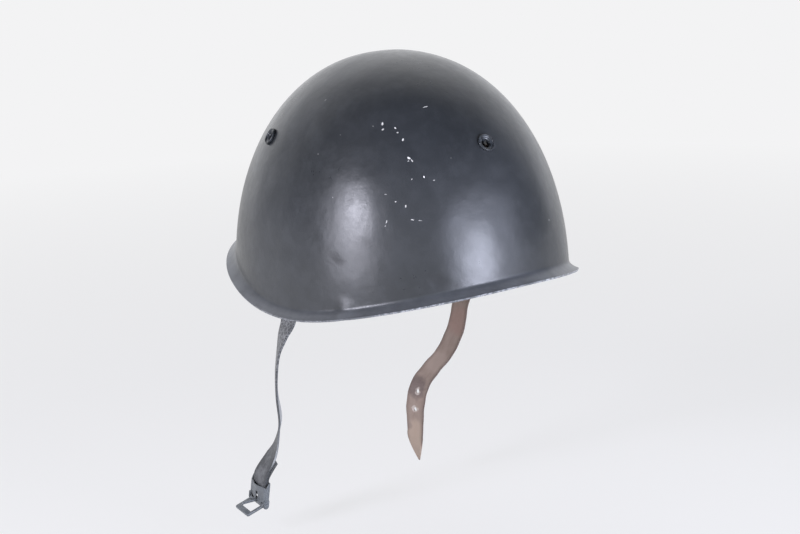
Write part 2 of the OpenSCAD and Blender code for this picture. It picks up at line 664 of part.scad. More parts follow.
// The left strap is folded back behind itself in the sleeve, and the fold's end stands off a little.
tail_curl = 1.6;
module strap_left() {
    list = smooth(left_stations, steps_per_station);
    last = len(list) - 1;
    color("#5f6468") difference() {
        union() {
            strap_eye("left");
            strap_run(list, strap_t);
            skin_of([for (i = [last - tail_steps : last]) strap_ring(list, i, tail_t,
                strap_x - tail_x + tail_curl * pow((last - i) / tail_steps, 4))]);
            at_buckle() translate([strap_x + strap_t / 2 - turn_r, 0, turn_mid]) rotate([90, 0, 0])
                cylinder(r = turn_r, h = strap_w, center = true, $fn = 48);
        }
        strap_rivet_hole("left");
        at_buckle() translate([0, 0, sleeve_rivet_z]) rivet_hole(8);
    }
}

module strap_right() {
    list = smooth(right_stations, steps_per_station);
    color("#8b7a72") difference() {
        union() {
            strap_eye("right");
            strap_run(list, strap_t);
        }
        strap_rivet_hole("right");
        for (h = adjust_holes) {
            f = strap_axis(list, round(h * steps_per_station));
            translate(f[0]) rotate([0, acos(f[1][2]), atan2(f[1][1], f[1][0])])
                cylinder(r = adjust_hole_r, h = 8, center = true, $fn = 32);
        }
    }
}

module strap_rivet(side) {
    color("#8a8d90") at_loop_bar(side) translate([leaf_x + strap_t / 2, 0, -strap_rivet_drop])
        rivet_shape(2 * leaf_x + strap_t, strap_rivet_head_r);
}

// Share of the pin's length that each turning piece takes
side_gap = 0.3;
knuckle_in = prong_w / 2 + side_gap;
knuckle_out = frame_w / 2 - frame_side - side_gap;

// Section of the sleeve at a share of its height: flat back, round sides and a front that bulges
// more towards the mouth. It grows by the sheet's thickness from the space inside.
sleeve_x = (front_inner + back_inner) / 2;
sleeve_fold = (front_inner - back_inner) / 2;
sleeve_side = sleeve_w / 2 - sleeve_t - sleeve_fold;
function sleeve_ring(k, z, grow) = let(r = sleeve_fold + grow) concat(
    [for (a = [-90 : 15 : 90]) [sleeve_x + r * sin(a), sleeve_side + r * cos(a), z]],
    [for (j = [7 : -1 : -7]) let(y = sleeve_side * j / 8)
        [sleeve_x + r + sleeve_bulge * pow(k, 2) * pow(cos(90 * j / 8), 2), y, z]],
    [for (a = [90 : -15 : -90]) [sleeve_x + r * sin(a), -sleeve_side - r * cos(a), z]]);
module sleeve_solid(grow, past) {
    skin_of([for (k = [0 : 0.125 : 1])
        sleeve_ring(k, sleeve_low - past + (sleeve_h + 2 * past) * k, grow)]);
}
// The mouth slopes through the side folds, and the front plate stops below the back.
module mouth_cut() {
    clear_x = front_inner + sleeve_bulge + 2;
    rotate([90, 0, 0]) linear_extrude(sleeve_w + 2, center = true)
        polygon([[sleeve_x, sleeve_top], [front_inner, sleeve_top - mouth_drop],
            [clear_x, sleeve_top - mouth_drop], [clear_x, sleeve_top + 1], [sleeve_x, sleeve_top + 1]]);
}
module buckle_sleeve() {
    color("#6a6e74") at_buckle() difference() {
        union() {
            difference() {
                sleeve_solid(sleeve_t, 0);
                sleeve_solid(0, 0.01);
            }
            for (s = [-1, 1]) translate([0, s * (knuckle_in + knuckle_out) / 2, 0]) {
                rotate([90, 0, 0])
                    cylinder(r = knuckle_r, h = knuckle_out - knuckle_in, center = true, $fn = 48);
                translate([front_inner, -(knuckle_out - knuckle_in) / 2, 0])
                    cube([sleeve_t, knuckle_out - knuckle_in, sleeve_low + 0.5]);
            }
            for (s = [-1, 1]) translate([0, s * (sleeve_w - sleeve_t) / 2, 0]) rotate([90, 0, 0])
                linear_extrude(sleeve_t, center = true) {
                    circle(knuckle_r, $fn = 48);
                    translate([-knuckle_r, 0]) square([2 * knuckle_r, sleeve_low + sleeve_fold]);
                }
        }
        rotate([90, 0, 0]) cylinder(r = pin_r + seat_gap, h = sleeve_w + 2, center = true, $fn = 48);
        translate([0, -knuckle_in, 0])
            cube([front_inner + sleeve_bulge, 2 * knuckle_in, sleeve_low + prong_slot_h]);
        mouth_cut();
        translate([back_inner, 0, sleeve_rivet_z]) rivet_hole(2);
    }
}

// The rivet's head is on the sleeve's back and its tail on the strap behind the front plate.
module buckle_sleeve_rivet() {
    color("#83878c") at_buckle() translate([back_inner - sleeve_t, 0, sleeve_rivet_z]) mirror([1, 0, 0])
        rivet_shape(strap_x + strap_t / 2 - back_inner + sleeve_t + seat_gap);
}

pin_head_h = 0.7;
module buckle_pin() {
    color("#85898d") at_buckle() rotate([90, 0, 0]) {
        cylinder(r = pin_r, h = sleeve_w + 1, center = true, $fn = 48);
        for (s = [-1, 1]) translate([0, 0, s * (sleeve_w / 2 + seat_gap + pin_head_h / 2)])
            cylinder(r = pin_r + 0.6, h = pin_head_h, center = true, $fn = 48);
    }
}

// Rectangular frame, drawn hanging and then swung out
module buckle_frame() {
    corner = 1.5;
    color("#73777d") at_buckle() rotate([0, -frame_angle, 0]) difference() {
        union() {
            for (s = [-1, 1]) {
                translate([0, s * (frame_w - frame_side) / 2, 0]) rotate([90, 0, 0])
                    cylinder(r = knuckle_r, h = frame_side, center = true, $fn = 48);
                translate([-frame_t / 2, s * (frame_w - frame_side) / 2 - frame_side / 2, corner - frame_l])
                    cube([frame_t, frame_side, frame_l - corner]);
                translate([0, s * (frame_w / 2 - corner), corner - frame_l]) rotate([0, 90, 0])
                    cylinder(r = corner, h = frame_t, center = true, $fn = 48);
            }
            translate([-frame_t / 2, corner - frame_w / 2, -frame_l])
                cube([frame_t, frame_w - 2 * corner, frame_bar]);
            translate([-frame_t / 2, -frame_w / 2 + 0.1, corner - frame_l])
                cube([frame_t, frame_w - 0.2, frame_bar - corner]);
        }
        rotate([90, 0, 0]) cylinder(r = pin_r + turn_gap, h = frame_w + 2, center = true, $fn = 48);
    }
}

// Prong, slightly arched over the frame's window. Its tip lies on the outer bar when it is let down.
prong_rise = 1.9;
module buckle_prong() {
    rest = (frame_t + prong_t) / 2 + 0.1;
    color("#7d8186") at_buckle() rotate([0, -frame_angle - prong_angle, 0]) difference() {
        union() {
            rotate([90, 0, 0]) cylinder(r = knuckle_r, h = prong_w, center = true, $fn = 48);
            ribbon([for (k = [0 : 0.125 : 1]) bezier([pin_r + turn_gap + barrel_t / 2, 0],
                [prong_rise, -frame_l * 0.3], [prong_rise, -frame_l * 0.7],
                [rest, -frame_l + 1.6], k)], prong_t, prong_w);
        }
        rotate([90, 0, 0]) cylinder(r = pin_r + turn_gap, h = prong_w + 2, center = true, $fn = 48);
    }
}

shell();
vent_bush("left");  // vent_bush_left
vent_bush("right");  // vent_bush_right
vent_bush("rear");  // vent_bush_rear
vent_washer("left");  // vent_washer_left
vent_washer("right");  // vent_washer_right
vent_washer("rear");  // vent_washer_rear
liner_bracket("left");  // liner_bracket_left
liner_bracket("right");  // liner_bracket_right
liner_bracket("rear");  // liner_bracket_rear
bracket_rivets();
liner_hoop();
felt_band();
headband();
headband_rivets();
crown_tongue(1);  // crown_tongue_1
crown_tongue(2);  // crown_tongue_2
crown_tongue(3);  // crown_tongue_3
crown_tongue(4);  // crown_tongue_4
crown_tongue(5);  // crown_tongue_5
crown_tongue(6);  // crown_tongue_6
crown_tongue(7);  // crown_tongue_7
crown_tongue(8);  // crown_tongue_8
crown_lace();
strap_anchor("left");  // strap_anchor_left
strap_anchor("right");  // strap_anchor_right
anchor_rivets();
strap_loop("left");  // strap_loop_left
strap_loop("right");  // strap_loop_right
strap_left();
strap_right();
strap_rivet("left");  // strap_rivet_left
strap_rivet("right");  // strap_rivet_right
buckle_sleeve();
buckle_sleeve_rivet();
buckle_pin();
buckle_frame();
buckle_prong();
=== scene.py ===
# Parade helmet: a painted steel shell, a leather lining on a sprung hoop and a two-part chin strap.
import json
from contextlib import contextmanager
from functools import reduce
from math import atan2, cos, degrees, pi, radians, sin, sqrt, tau

import bmesh
import bpy
import numpy as np
from mathutils import Matrix, Vector
from mathutils.bvhtree import BVHTree

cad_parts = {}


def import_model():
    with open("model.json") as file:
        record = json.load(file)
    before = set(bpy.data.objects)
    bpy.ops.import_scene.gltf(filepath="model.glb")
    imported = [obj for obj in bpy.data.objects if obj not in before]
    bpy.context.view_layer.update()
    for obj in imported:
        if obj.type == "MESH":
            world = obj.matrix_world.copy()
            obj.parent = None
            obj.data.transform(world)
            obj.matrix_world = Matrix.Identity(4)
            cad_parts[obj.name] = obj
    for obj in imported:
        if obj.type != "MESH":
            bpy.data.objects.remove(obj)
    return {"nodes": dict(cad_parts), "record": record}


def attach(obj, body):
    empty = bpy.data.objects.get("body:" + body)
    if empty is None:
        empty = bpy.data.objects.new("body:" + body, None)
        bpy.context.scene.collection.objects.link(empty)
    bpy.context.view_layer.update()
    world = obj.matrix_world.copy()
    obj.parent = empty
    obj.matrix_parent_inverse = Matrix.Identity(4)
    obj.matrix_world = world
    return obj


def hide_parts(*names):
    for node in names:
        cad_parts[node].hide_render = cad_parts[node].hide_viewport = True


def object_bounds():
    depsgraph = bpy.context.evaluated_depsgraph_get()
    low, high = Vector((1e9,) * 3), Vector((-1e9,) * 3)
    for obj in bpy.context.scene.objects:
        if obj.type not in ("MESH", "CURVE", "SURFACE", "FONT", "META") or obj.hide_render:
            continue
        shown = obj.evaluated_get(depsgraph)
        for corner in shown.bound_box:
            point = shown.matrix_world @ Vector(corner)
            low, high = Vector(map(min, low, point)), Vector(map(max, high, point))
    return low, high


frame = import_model()
cad_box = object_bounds()

MM = 0.001
UP = Vector((0, 0, 1))


def around(turn, half_width=1.0, half_length=1.0):
    """A point of a level oval, at a turn in degrees from the front towards the wearer's left."""
    a = radians(turn)
    return Vector((half_width * sin(a), -half_length * cos(a), 0))


def linear(hex_code):
    """An sRGB hex colour as linear red, green, blue and alpha."""
    parts = [int(hex_code[i:i + 2], 16) / 255 for i in (1, 3, 5)]
    return [c / 12.92 if c <= 0.04045 else ((c + 0.055) / 1.055) ** 2.4 for c in parts] + [1.0]


def placed(data, name="carrier"):
    """A new object in the scene."""
    made = bpy.data.objects.new(name, data)
    bpy.context.scene.collection.objects.link(made)
    return made


def feed(socket, value):
    """Gives a socket a plain value, or links it to another socket or to a node's first output in use."""
    if isinstance(value, bpy.types.Node):
        value = next(output for output in value.outputs if output.enabled)
    if isinstance(value, bpy.types.NodeSocket):
        socket.id_data.links.new(value, socket)
    elif value is not None:
        socket.default_value = value


def add(tree, kind, inputs=(), **settings):
    """Adds a node with its settings. Inputs are values, sockets or nodes, by place or by name."""
    node = tree.nodes.new(kind)
    for name, value in settings.items():
        setattr(node, name, value)
    if isinstance(inputs, dict):
        pairs = [(node.inputs[name], value) for name, value in inputs.items()]
    else:
        pairs = zip([socket for socket in node.inputs if socket.enabled], inputs)
    for socket, value in pairs:
        feed(socket, value)
    return node


def maths(operation, *values, kind="ShaderNodeMath"):
    """Adds an operation on values, in the tree that one of them is in."""
    tree = next(value.id_data for value in values if hasattr(value, "id_data"))
    return add(tree, kind, values, operation=operation)


def vectors(operation, *values):
    return maths(operation, *values, kind="ShaderNodeVectorMath")


def scaled(value, factor):
    return maths("MULTIPLY", value, factor)


def gathered(operation, values):
    """One value of several."""
    return reduce(lambda first, second: maths(operation, first, second), values)


# Camera, at the photograph's viewing angle
camera_turn = radians(143.525)
camera_rise = radians(13.901)
camera_roll = radians(-2.466)
camera_place = Vector((772.663, 1046.589, 293.751)) * MM
focal_px = 1800
image_px = (800, 534)

camera = placed(bpy.data.cameras.new("camera"), "camera")
camera.data.sensor_width = 36
camera.data.lens = 36 * focal_px / image_px[0]
camera.data.clip_start = 0.05
camera.data.clip_end = 50
camera.matrix_world = (
    Matrix.Translation(camera_place) @ Matrix.Rotation(camera_turn, 4, "Z")
    @ Matrix.Rotation(pi / 2 - camera_rise, 4, "X") @ Matrix.Rotation(camera_roll, 4, "Z"))
bpy.context.scene.camera = camera


# Finishes

def finish(name, **sockets):
    """A new material with its shader's own sockets set. Returns it, its tree, its shader and the object's
    coordinates."""
    made = bpy.data.materials.new(name)
    made.use_nodes = True
    tree = made.node_tree
    shader = tree.nodes["Principled BSDF"]
    for socket, value in sockets.items():
        shader.inputs[socket.replace("_", " ")].default_value = value
    return made, tree, shader, add(tree, "ShaderNodeTexCoord").outputs["Object"]


def noise(coords, size, detail=3.0, rough=0.55):
    """Value of a noise whose features are about the given size in millimetres."""
    return add(coords.id_data, "ShaderNodeTexNoise",
               {"Vector": coords, "Scale": 1 / (size * MM), "Detail": detail, "Roughness": rough}).outputs[0]


def cells(coords, size, **settings):
    """Distances in a pattern of cells of about the given size in millimetres."""
    return add(coords.id_data, "ShaderNodeTexVoronoi", {"Vector": coords, "Scale": 1 / (size * MM)},
               **settings).outputs["Distance"]


def spread(value, low, high, to_low, to_high):
    """The value spread from one range to another, held at the ends."""
    return add(value.id_data, "ShaderNodeMapRange", [value, low, high, to_low, to_high])


def blend_colour(factor, first, second):
    """One colour or colour socket fading to another."""
    first, second = (linear(c) if isinstance(c, str) else c for c in (first, second))
    return add(factor.id_data, "ShaderNodeMix", [factor, first, second], data_type="RGBA")


def dress(shader, colour, rough, heights):
    """Gives a shader its colour, its roughness and its bump, from values and their heights in millimetres."""
    feed(shader.inputs["Base Color"], colour)
    feed(shader.inputs["Roughness"], rough)
    height = gathered("ADD", [scaled(value, reach * MM) for value, reach in heights])
    bump = add(shader.id_data, "ShaderNodeBump", {"Strength": 1.0, "Distance": 1.0, "Height": height})
    feed(shader.inputs["Normal"], bump)


# Places on the shell: turn from the front towards the wearer's left, height above the side rim,
# length, width, lean from level and how much of the paint is gone
seat_height = 40 * MM
chips = [
    (139, 134.2, 3.2, 1.7, 90, 1.0), (139.2, 130.7, 1.9, 1.4, 30, 0.9), (144.6, 131.6, 2.0, 1.3, -40, 1.0),
    (145.4, 128.8, 1.5, 1.3, 0, 0.95), (147.4, 124.4, 2.7, 1.4, 80, 1.0), (149, 113, 2.8, 2.2, -35, 1.0),
    (150, 111.4, 2.6, 1.1, -60, 0.8), (148.7, 111.3, 1.6, 0.8, 60, 0.6), (153.5, 101, 2.1, 1.2, -70, 1.0),
    (149.3, 99.9, 1.6, 0.9, 40, 0.55), (156.7, 98.6, 1.7, 1.0, 0, 0.5), (140.1, 90.5, 2.0, 0.7, 0, 0.5),
    (143.4, 85.8, 1.5, 1.2, 0, 0.9), (146.6, 82.8, 2.2, 1.1, 80, 1.0), (140.2, 72.8, 2.8, 0.9, 75, 0.6),
    (139.8, 70.2, 1.7, 0.9, 30, 0.3), (148.4, 74.1, 2.7, 0.8, -8, 0.8), (150.9, 73.4, 3.4, 0.7, -6, 0.45),
    (159.6, 143.4, 4.6, 1.0, 14, 0.75), (99.6, 146.4, 2.2, 0.7, 60, 0.35), (134.7, 132.8, 1.5, 1.0, 20, 0.4),
    (119.8, 86.8, 1.1, 0.9, 0, 0.5), (-161.4, 59.3, 1.7, 0.8, 60, 0.45), (109, 113.3, 1.3, 0.8, 0, 0.3),
    (164.1, 111.5, 1.2, 0.7, 0, 0.3), (118.8, 126.4, 1.0, 0.7, 0, 0.25), (30, 120, 2.2, 1.2, 20, 0.9),
    (-48, 96, 1.8, 1.2, 70, 0.8), (-95, 70, 2.6, 0.8, 10, 0.6), (12, 74, 1.6, 1.1, 0, 0.9),
    (-12, 150, 3.6, 0.8, 30, 0.5)]
# Dents: turn, height, radius and depth, where a depth under zero is a swelling
dents = [(122.6, 45.3, 7, 0.22), (154.3, 32.4, 9, 0.6), (125.5, 11.8, 11, -1.4), (-60, 62, 9, 0.5),
         (20, 98, 10, 0.5)]
# Dark patches: turn, height, length, width and strength. Those on and beside the dents are painted shade in
# their hollows, with some dirt; the long thin one is a scuff of dirt.
dark_patches = [(122.4, 45.6, 13, 6, 0.75), (120.5, 42, 8, 4, 0.4), (154.3, 32.4, 13, 9, 0.6),
          (133, 60, 20, 3, 0.2)]


def place_on_shell(walls, turn, height):
    """Point and outward normal on the outer face, at a turn in degrees and a height in millimetres."""
    out = around(turn)
    start = out * 0.5 + UP * (height * MM - seat_height)
    point, normal, _, _ = walls.ray_cast(start, -out)
    return point, normal


def stain(torn, walls, spot, soft):
    """How strongly a mark on the shell covers a point, from its place, length, width and lean."""
    turn, height, length, width, lean, gone = spot
    point, normal = place_on_shell(walls, turn, height)
    level = UP.cross(normal).normalized()
    rising = normal.cross(level)
    along = level * cos(radians(lean)) + rising * sin(radians(lean))
    turned = Matrix((along, normal.cross(along), normal)).transposed().to_euler()
    size = (length * MM / 2, width * MM / 2, 2 * MM + length * MM * soft)
    at_mark = add(torn.id_data, "ShaderNodeMapping", [torn, point, turned, size], vector_type="TEXTURE")
    return spread(vectors("LENGTH", at_mark), 1.15 + soft, 0.85 - soft, 0, gone)


def torn_coords(coords, size, reach):
    """Coordinates shaken by a noise, which makes the edge of a mark ragged. Both measures are millimetres."""
    ragged = add(coords.id_data, "ShaderNodeTexNoise", {"Vector": coords, "Scale": 1 / (size * MM),
                                                        "Detail": 3.0})
    centred = vectors("SUBTRACT", ragged.outputs["Color"], (0.5, 0.5, 0.5))
    return vectors("ADD", coords, vectors("SCALE", centred, reach * MM))


def enamel(walls):
    """Satin blue-black enamel over pressed steel: soft wide highlights, faint orange peel,
    a lighter tone over the flare and the bend above the rim, and small chips down to the pale primer."""
    made, tree, shader, coords = finish("satin_enamel", IOR=1.55)
    clouds = noise(coords, 70, 4)
    smears = noise(coords, 14, 5, 0.65)
    colour = blend_colour(spread(clouds, 0.35, 0.65, 0, 1), "#1a1d20", "#23262a")
    colour = blend_colour(spread(smears, 0.5, 0.8, 0, 0.18), colour, "#44474c")
    edge = add(tree, "ShaderNodeAttribute", attribute_name="edge").outputs["Fac"]
    # The colour turns lighter towards the rim's raw edge, over the flare and the bend above it.
    lighter_near_rim = scaled(spread(edge, 2 * MM, 11 * MM, 1, 0), spread(smears, 0.3, 0.6, 0.6, 0.9))
    colour = blend_colour(lighter_near_rim, colour, "#66696d")

    # The dark patches paint the shade in the dents' hollows, and one scuff of dirt.
    patch_coords = torn_coords(coords, 5, 7)
    dent_shade_and_dirt = gathered("MAXIMUM", [stain(patch_coords, walls, (turn, height, length, width, -20, gone), 0.5)
                                for turn, height, length, width, gone in dark_patches])
    colour = blend_colour(dent_shade_and_dirt, colour, "#16181c")
    torn = torn_coords(coords, 0.9, 1.1)
    bare = gathered("MAXIMUM", [stain(torn, walls, (turn, height, 0.78 * length, 0.7 * width, lean, gone), 0)
                                for turn, height, length, width, lean, gone in chips])
    colour = blend_colour(bare, colour, "#d6d5d1")

    # Bare steel in a fine line where the raw rim has lost its paint, mostly at the rear
    backward = add(tree, "ShaderNodeSeparateXYZ", [coords]).outputs[1]
    worn = scaled(spread(edge, 0.1 * MM, 0.5 * MM, 1, 0), spread(noise(coords, 2.6, 3, 0.7), 0.42, 0.58, 0,
                                                                 1))
    worn = scaled(worn, spread(noise(coords, 55, 2), 0.4, 0.58, 0.1, 0.85))
    worn = scaled(worn, spread(backward, 40 * MM, 100 * MM, 0.35, 1))
    colour = blend_colour(worn, colour, "#b9babd")

    gloss = [spread(clouds, 0.3, 0.7, 0.25, 0.3), spread(noise(coords, 5, 4, 0.7), 0.35, 0.75, 0, 0.07),
             scaled(bare, 0.25), scaled(dent_shade_and_dirt, 0.2), scaled(lighter_near_rim, 0.12)]
    dress(shader, colour, gathered("ADD", gloss), [
        (noise(coords, 1.5, 3, 0.6), 0.045), (noise(coords, 16, 2), 0.3), (noise(coords, 45, 1), 1.1),
        (dent_shade_and_dirt, -0.12), (bare, -0.05)])
    return made


def metal(name, colour, worn, roughness, metallic, grit):
    """Steel with its surface treatment: blotches of wear and a fine grain."""
    made, _, shader, coords = finish(name, Metallic=metallic)
    blotches = noise(coords, 3, 5, 0.65)
    tone = blend_colour(spread(blotches, 0.42, 0.66, 0, 1), colour, worn)
    rough = spread(noise(coords, 1.1), 0.3, 0.7, roughness - 0.08, roughness + 0.1)
    dress(shader, tone, rough, [(noise(coords, 0.5), grit), (blotches, 2 * grit)])
    return made


def leather(name, colours, roughness, crackle, cracked_to, scuff, flesh_edge_share, marks):
    """Strap leather: fine grain, darker edges, scuffed patches and a pale flesh side. The darker edges are
    partly burnishing and partly painted shade across the strap's width. Its UV map is in metres, along the
    strap and across it from the middle. It is crackled up to a distance along. Its edges are darkened on the
    grain side and by a share of that on the flesh side. A mark is a place, its radius in millimetres, its
    strength and its colour."""
    made, tree, shader, coords = finish(name)
    base, dark, pale, flesh = colours
    lie = add(tree, "ShaderNodeUVMap", uv_map="lie").outputs[0]
    along, across, _ = add(tree, "ShaderNodeSeparateXYZ", [lie]).outputs
    streaks = noise(add(tree, "ShaderNodeMapping", {"Vector": lie, "Scale": (0.35, 1, 1)}), 4, 6, 0.65)
    tone = blend_colour(spread(streaks, 0.35, 0.65, 0, 1), dark, base)
    patches = noise(coords, 11, 5, 0.7)
    tone = blend_colour(spread(patches, 0.48, 0.64, 0, scuff), tone, pale)
    inner = add(tree, "ShaderNodeAttribute", attribute_name="flesh").outputs["Fac"]
    rubbed_flesh = blend_colour(spread(streaks, 0.35, 0.65, 0.5, 0), flesh, base)
    tone = blend_colour(inner, tone, rubbed_flesh)
    shaken = torn_coords(coords, 5, 6)
    for place, radius, strength, colour in marks:
        away = vectors("DISTANCE", shaken, place)
        tone = blend_colour(spread(away, radius * MM, 0.65 * radius * MM, 0, strength), tone, colour)
    # Painted shade, together with burnishing: the strap darkens over its last few millimetres to each edge.
    near_edge = maths("ADD", maths("ABSOLUTE", across), scaled(patches, 2 * MM))
    edge_burnish_and_shade = scaled(spread(near_edge, 6.4 * MM, 9.2 * MM, 0, 0.95), spread(inner, 0, 1, 1, flesh_edge_share))
    tone = blend_colour(edge_burnish_and_shade, tone, dark)
    cracks = cells(torn_coords(coords, 2, 2), 2.4, feature="DISTANCE_TO_EDGE")
    crack_line = scaled(spread(cracks, 0.03, 0.2, crackle, 0), spread(patches, 0.36, 0.52, 0.25, 1))
    crack_line = scaled(crack_line, spread(along, cracked_to, cracked_to + 30 * MM, 1, 0.15))
    tone = blend_colour(crack_line, tone, pale)
    rough = spread(patches, 0.3, 0.7, roughness - 0.07, roughness + 0.12)
    dress(shader, tone, rough, [(cells(lie, 0.9), 0.05), (streaks, 0.15), (crack_line, -0.12)])
    return made


def lining_leather():
    """Vegetable-tanned sheep leather, with darker and lighter patches."""
    made, _, shader, coords = finish("lining_leather")
    patches = noise(coords, 30, 5, 0.6)
    tone = blend_colour(spread(patches, 0.35, 0.65, 0, 1), "#5a3a26", "#7a5236")
    tone = blend_colour(spread(noise(coords, 2.5, 5, 0.7), 0.5, 0.75, 0, 0.4), tone, "#8f6a4a")
    dress(shader, tone, spread(patches, 0.3, 0.7, 0.42, 0.6), [(cells(coords, 1.1), 0.06), (patches, 0.5)])
    return made


def fibres(name, size, detail, rough, dark, pale, reach, **sockets):
    """A matt tangle of short fibres or strands, of a size and a relief in millimetres."""
    made, _, shader, coords = finish(name, **sockets)
    tangle = noise(coords, size, detail, rough)
    dress(shader, blend_colour(spread(tangle, 0.35, 0.65, 0, 1), dark, pale), None, [(tangle, reach)])
    return made


def cotton():
    """Braided cotton cord: pale and matt. Its strands cross once each 2.4 mm, which is drawn from the UV
    map in metres along and round the cord."""
    made, tree, shader, _ = finish("braided_cotton", Roughness=0.9, Sheen_Weight=0.3)
    lie = add(tree, "ShaderNodeUVMap", uv_map="lie")
    strands = []
    for hand in (1, -1):
        leaned = add(tree, "ShaderNodeMapping", {"Vector": lie, "Scale": (1 / (2.4 * MM), hand / (2.1 * MM),
                                                                          1)})
        strands.append(add(tree, "ShaderNodeTexWave", {"Vector": leaned, "Scale": 0.32},
                           bands_direction="DIAGONAL").outputs["Fac"])
    braid = gathered("MAXIMUM", strands)
    dress(shader, blend_colour(braid, "#7f745e", "#cfc4aa"), None, [(braid, 0.15)])
    return made


# Pieces

def piece(mesh, name, body, nodes=(), material=None):
    """A finished piece: it rides on its body and stands for its CAD nodes."""
    made = placed(mesh, name)
    if material is not None:
        mesh.materials.clear()
        mesh.materials.append(material)
    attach(made, body)
    if nodes:
        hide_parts(*nodes)
    return made


def settled(carrier):
    """The plain mesh of an object with its modifiers carried out. The object is taken away."""
    graph = bpy.context.evaluated_depsgraph_get()
    mesh = bpy.data.meshes.new_from_object(carrier.evaluated_get(graph), preserve_all_data_layers=True,
                                           depsgraph=graph)
    bpy.data.objects.remove(carrier)
    return mesh


def grown(tree, mesh=None, **values):
    """The plain mesh that a geometry tree makes, with values for its inputs by name."""
    carrier = placed(mesh or bpy.data.meshes.new("seed"))
    modifier = carrier.modifiers.new("form", "NODES")
    modifier.node_group = tree
    for item in tree.interface.items_tree:
        if item.in_out == "INPUT" and item.name in values:
            modifier[item.identifier] = values[item.name]
    return settled(carrier)


@contextmanager
def edited(mesh):
    """Opens a mesh for edits and writes them back at the end."""
    work = bmesh.new()
    work.from_mesh(mesh)
    yield work
    work.to_mesh(mesh)
    work.free()


def mesh_of(name, points, faces, closed=True):
    """A smooth mesh. A closed one has its faces turned outwards."""
    mesh = bpy.data.meshes.new(name)
    mesh.from_pydata([tuple(p) for p in points], [], faces)
    if closed:
        with edited(mesh) as work:
            bmesh.ops.recalc_face_normals(work, faces=work.faces)
    mesh.shade_smooth()
    return mesh


def geometry_tree(name, sizes):
    """A geometry tree with a named input for each size, or for each socket type that is given instead.
    Returns the tree and its input sockets."""
    tree = bpy.data.node_groups.new(name, "GeometryNodeTree")
    tree.interface.new_socket("Geometry", in_out="INPUT", socket_type="NodeSocketGeometry")
    for label, value in sizes.items():
        kind = value if isinstance(value, str) else "NodeSocket" + type(value).__name__.title()
        socket = tree.interface.new_socket(label, in_out="INPUT", socket_type=kind)
        if kind != value:
            socket.default_value = value
    tree.interface.new_socket("Geometry", in_out="OUTPUT", socket_type="NodeSocketGeometry")
    return tree, tree.nodes.new("NodeGroupInput").outputs


def close_tree(tree, geometry, material):
    """Ends a tree in real geometry with its material."""
    real = add(tree, "GeometryNodeRealizeInstances", [geometry])
    done = add(tree, "GeometryNodeSetMaterial", {"Geometry": real, "Material": material})
    add(tree, "NodeGroupOutput", [done])


shell_sizes = {
    "Half Front": 132 * MM, "Half Back": 136 * MM, "Half Width": 111.5 * MM, "Plan Power": 2.17,
    "Dome Base": 6 * MM, "Dome Rise": 167 * MM, "Front Power": 2.0, "Side Power": 2.2, "Rear Power": 2.17,
    "Wall": 1.3 * MM, "Rim Front": 30 * MM, "Rim Rear": 24 * MM, "Rim Quarter": 1.5 * MM,
    "Rim Skew": 7 * MM, "Flare Front": 17 * MM, "Flare Side": 9 * MM, "Flare Rear": 10 * MM,
    "Flare Front Angle": radians(35), "Flare Side Angle": radians(44),
    "Flare Rear Angle": radians(51), "Seat Height": seat_height, "Unevenness": 0.5 * MM,
    "Turns": 241, "Rows": 136, "Holes": "NodeSocketObject", "Finish": "NodeSocketMaterial"}
flare_share = 0.2
weld = 0.01 * MM
# Bends under this angle are shaded smooth
soft_bend = radians(40)
vent_hole_radius = 4.0
vent_drill_reach = 12


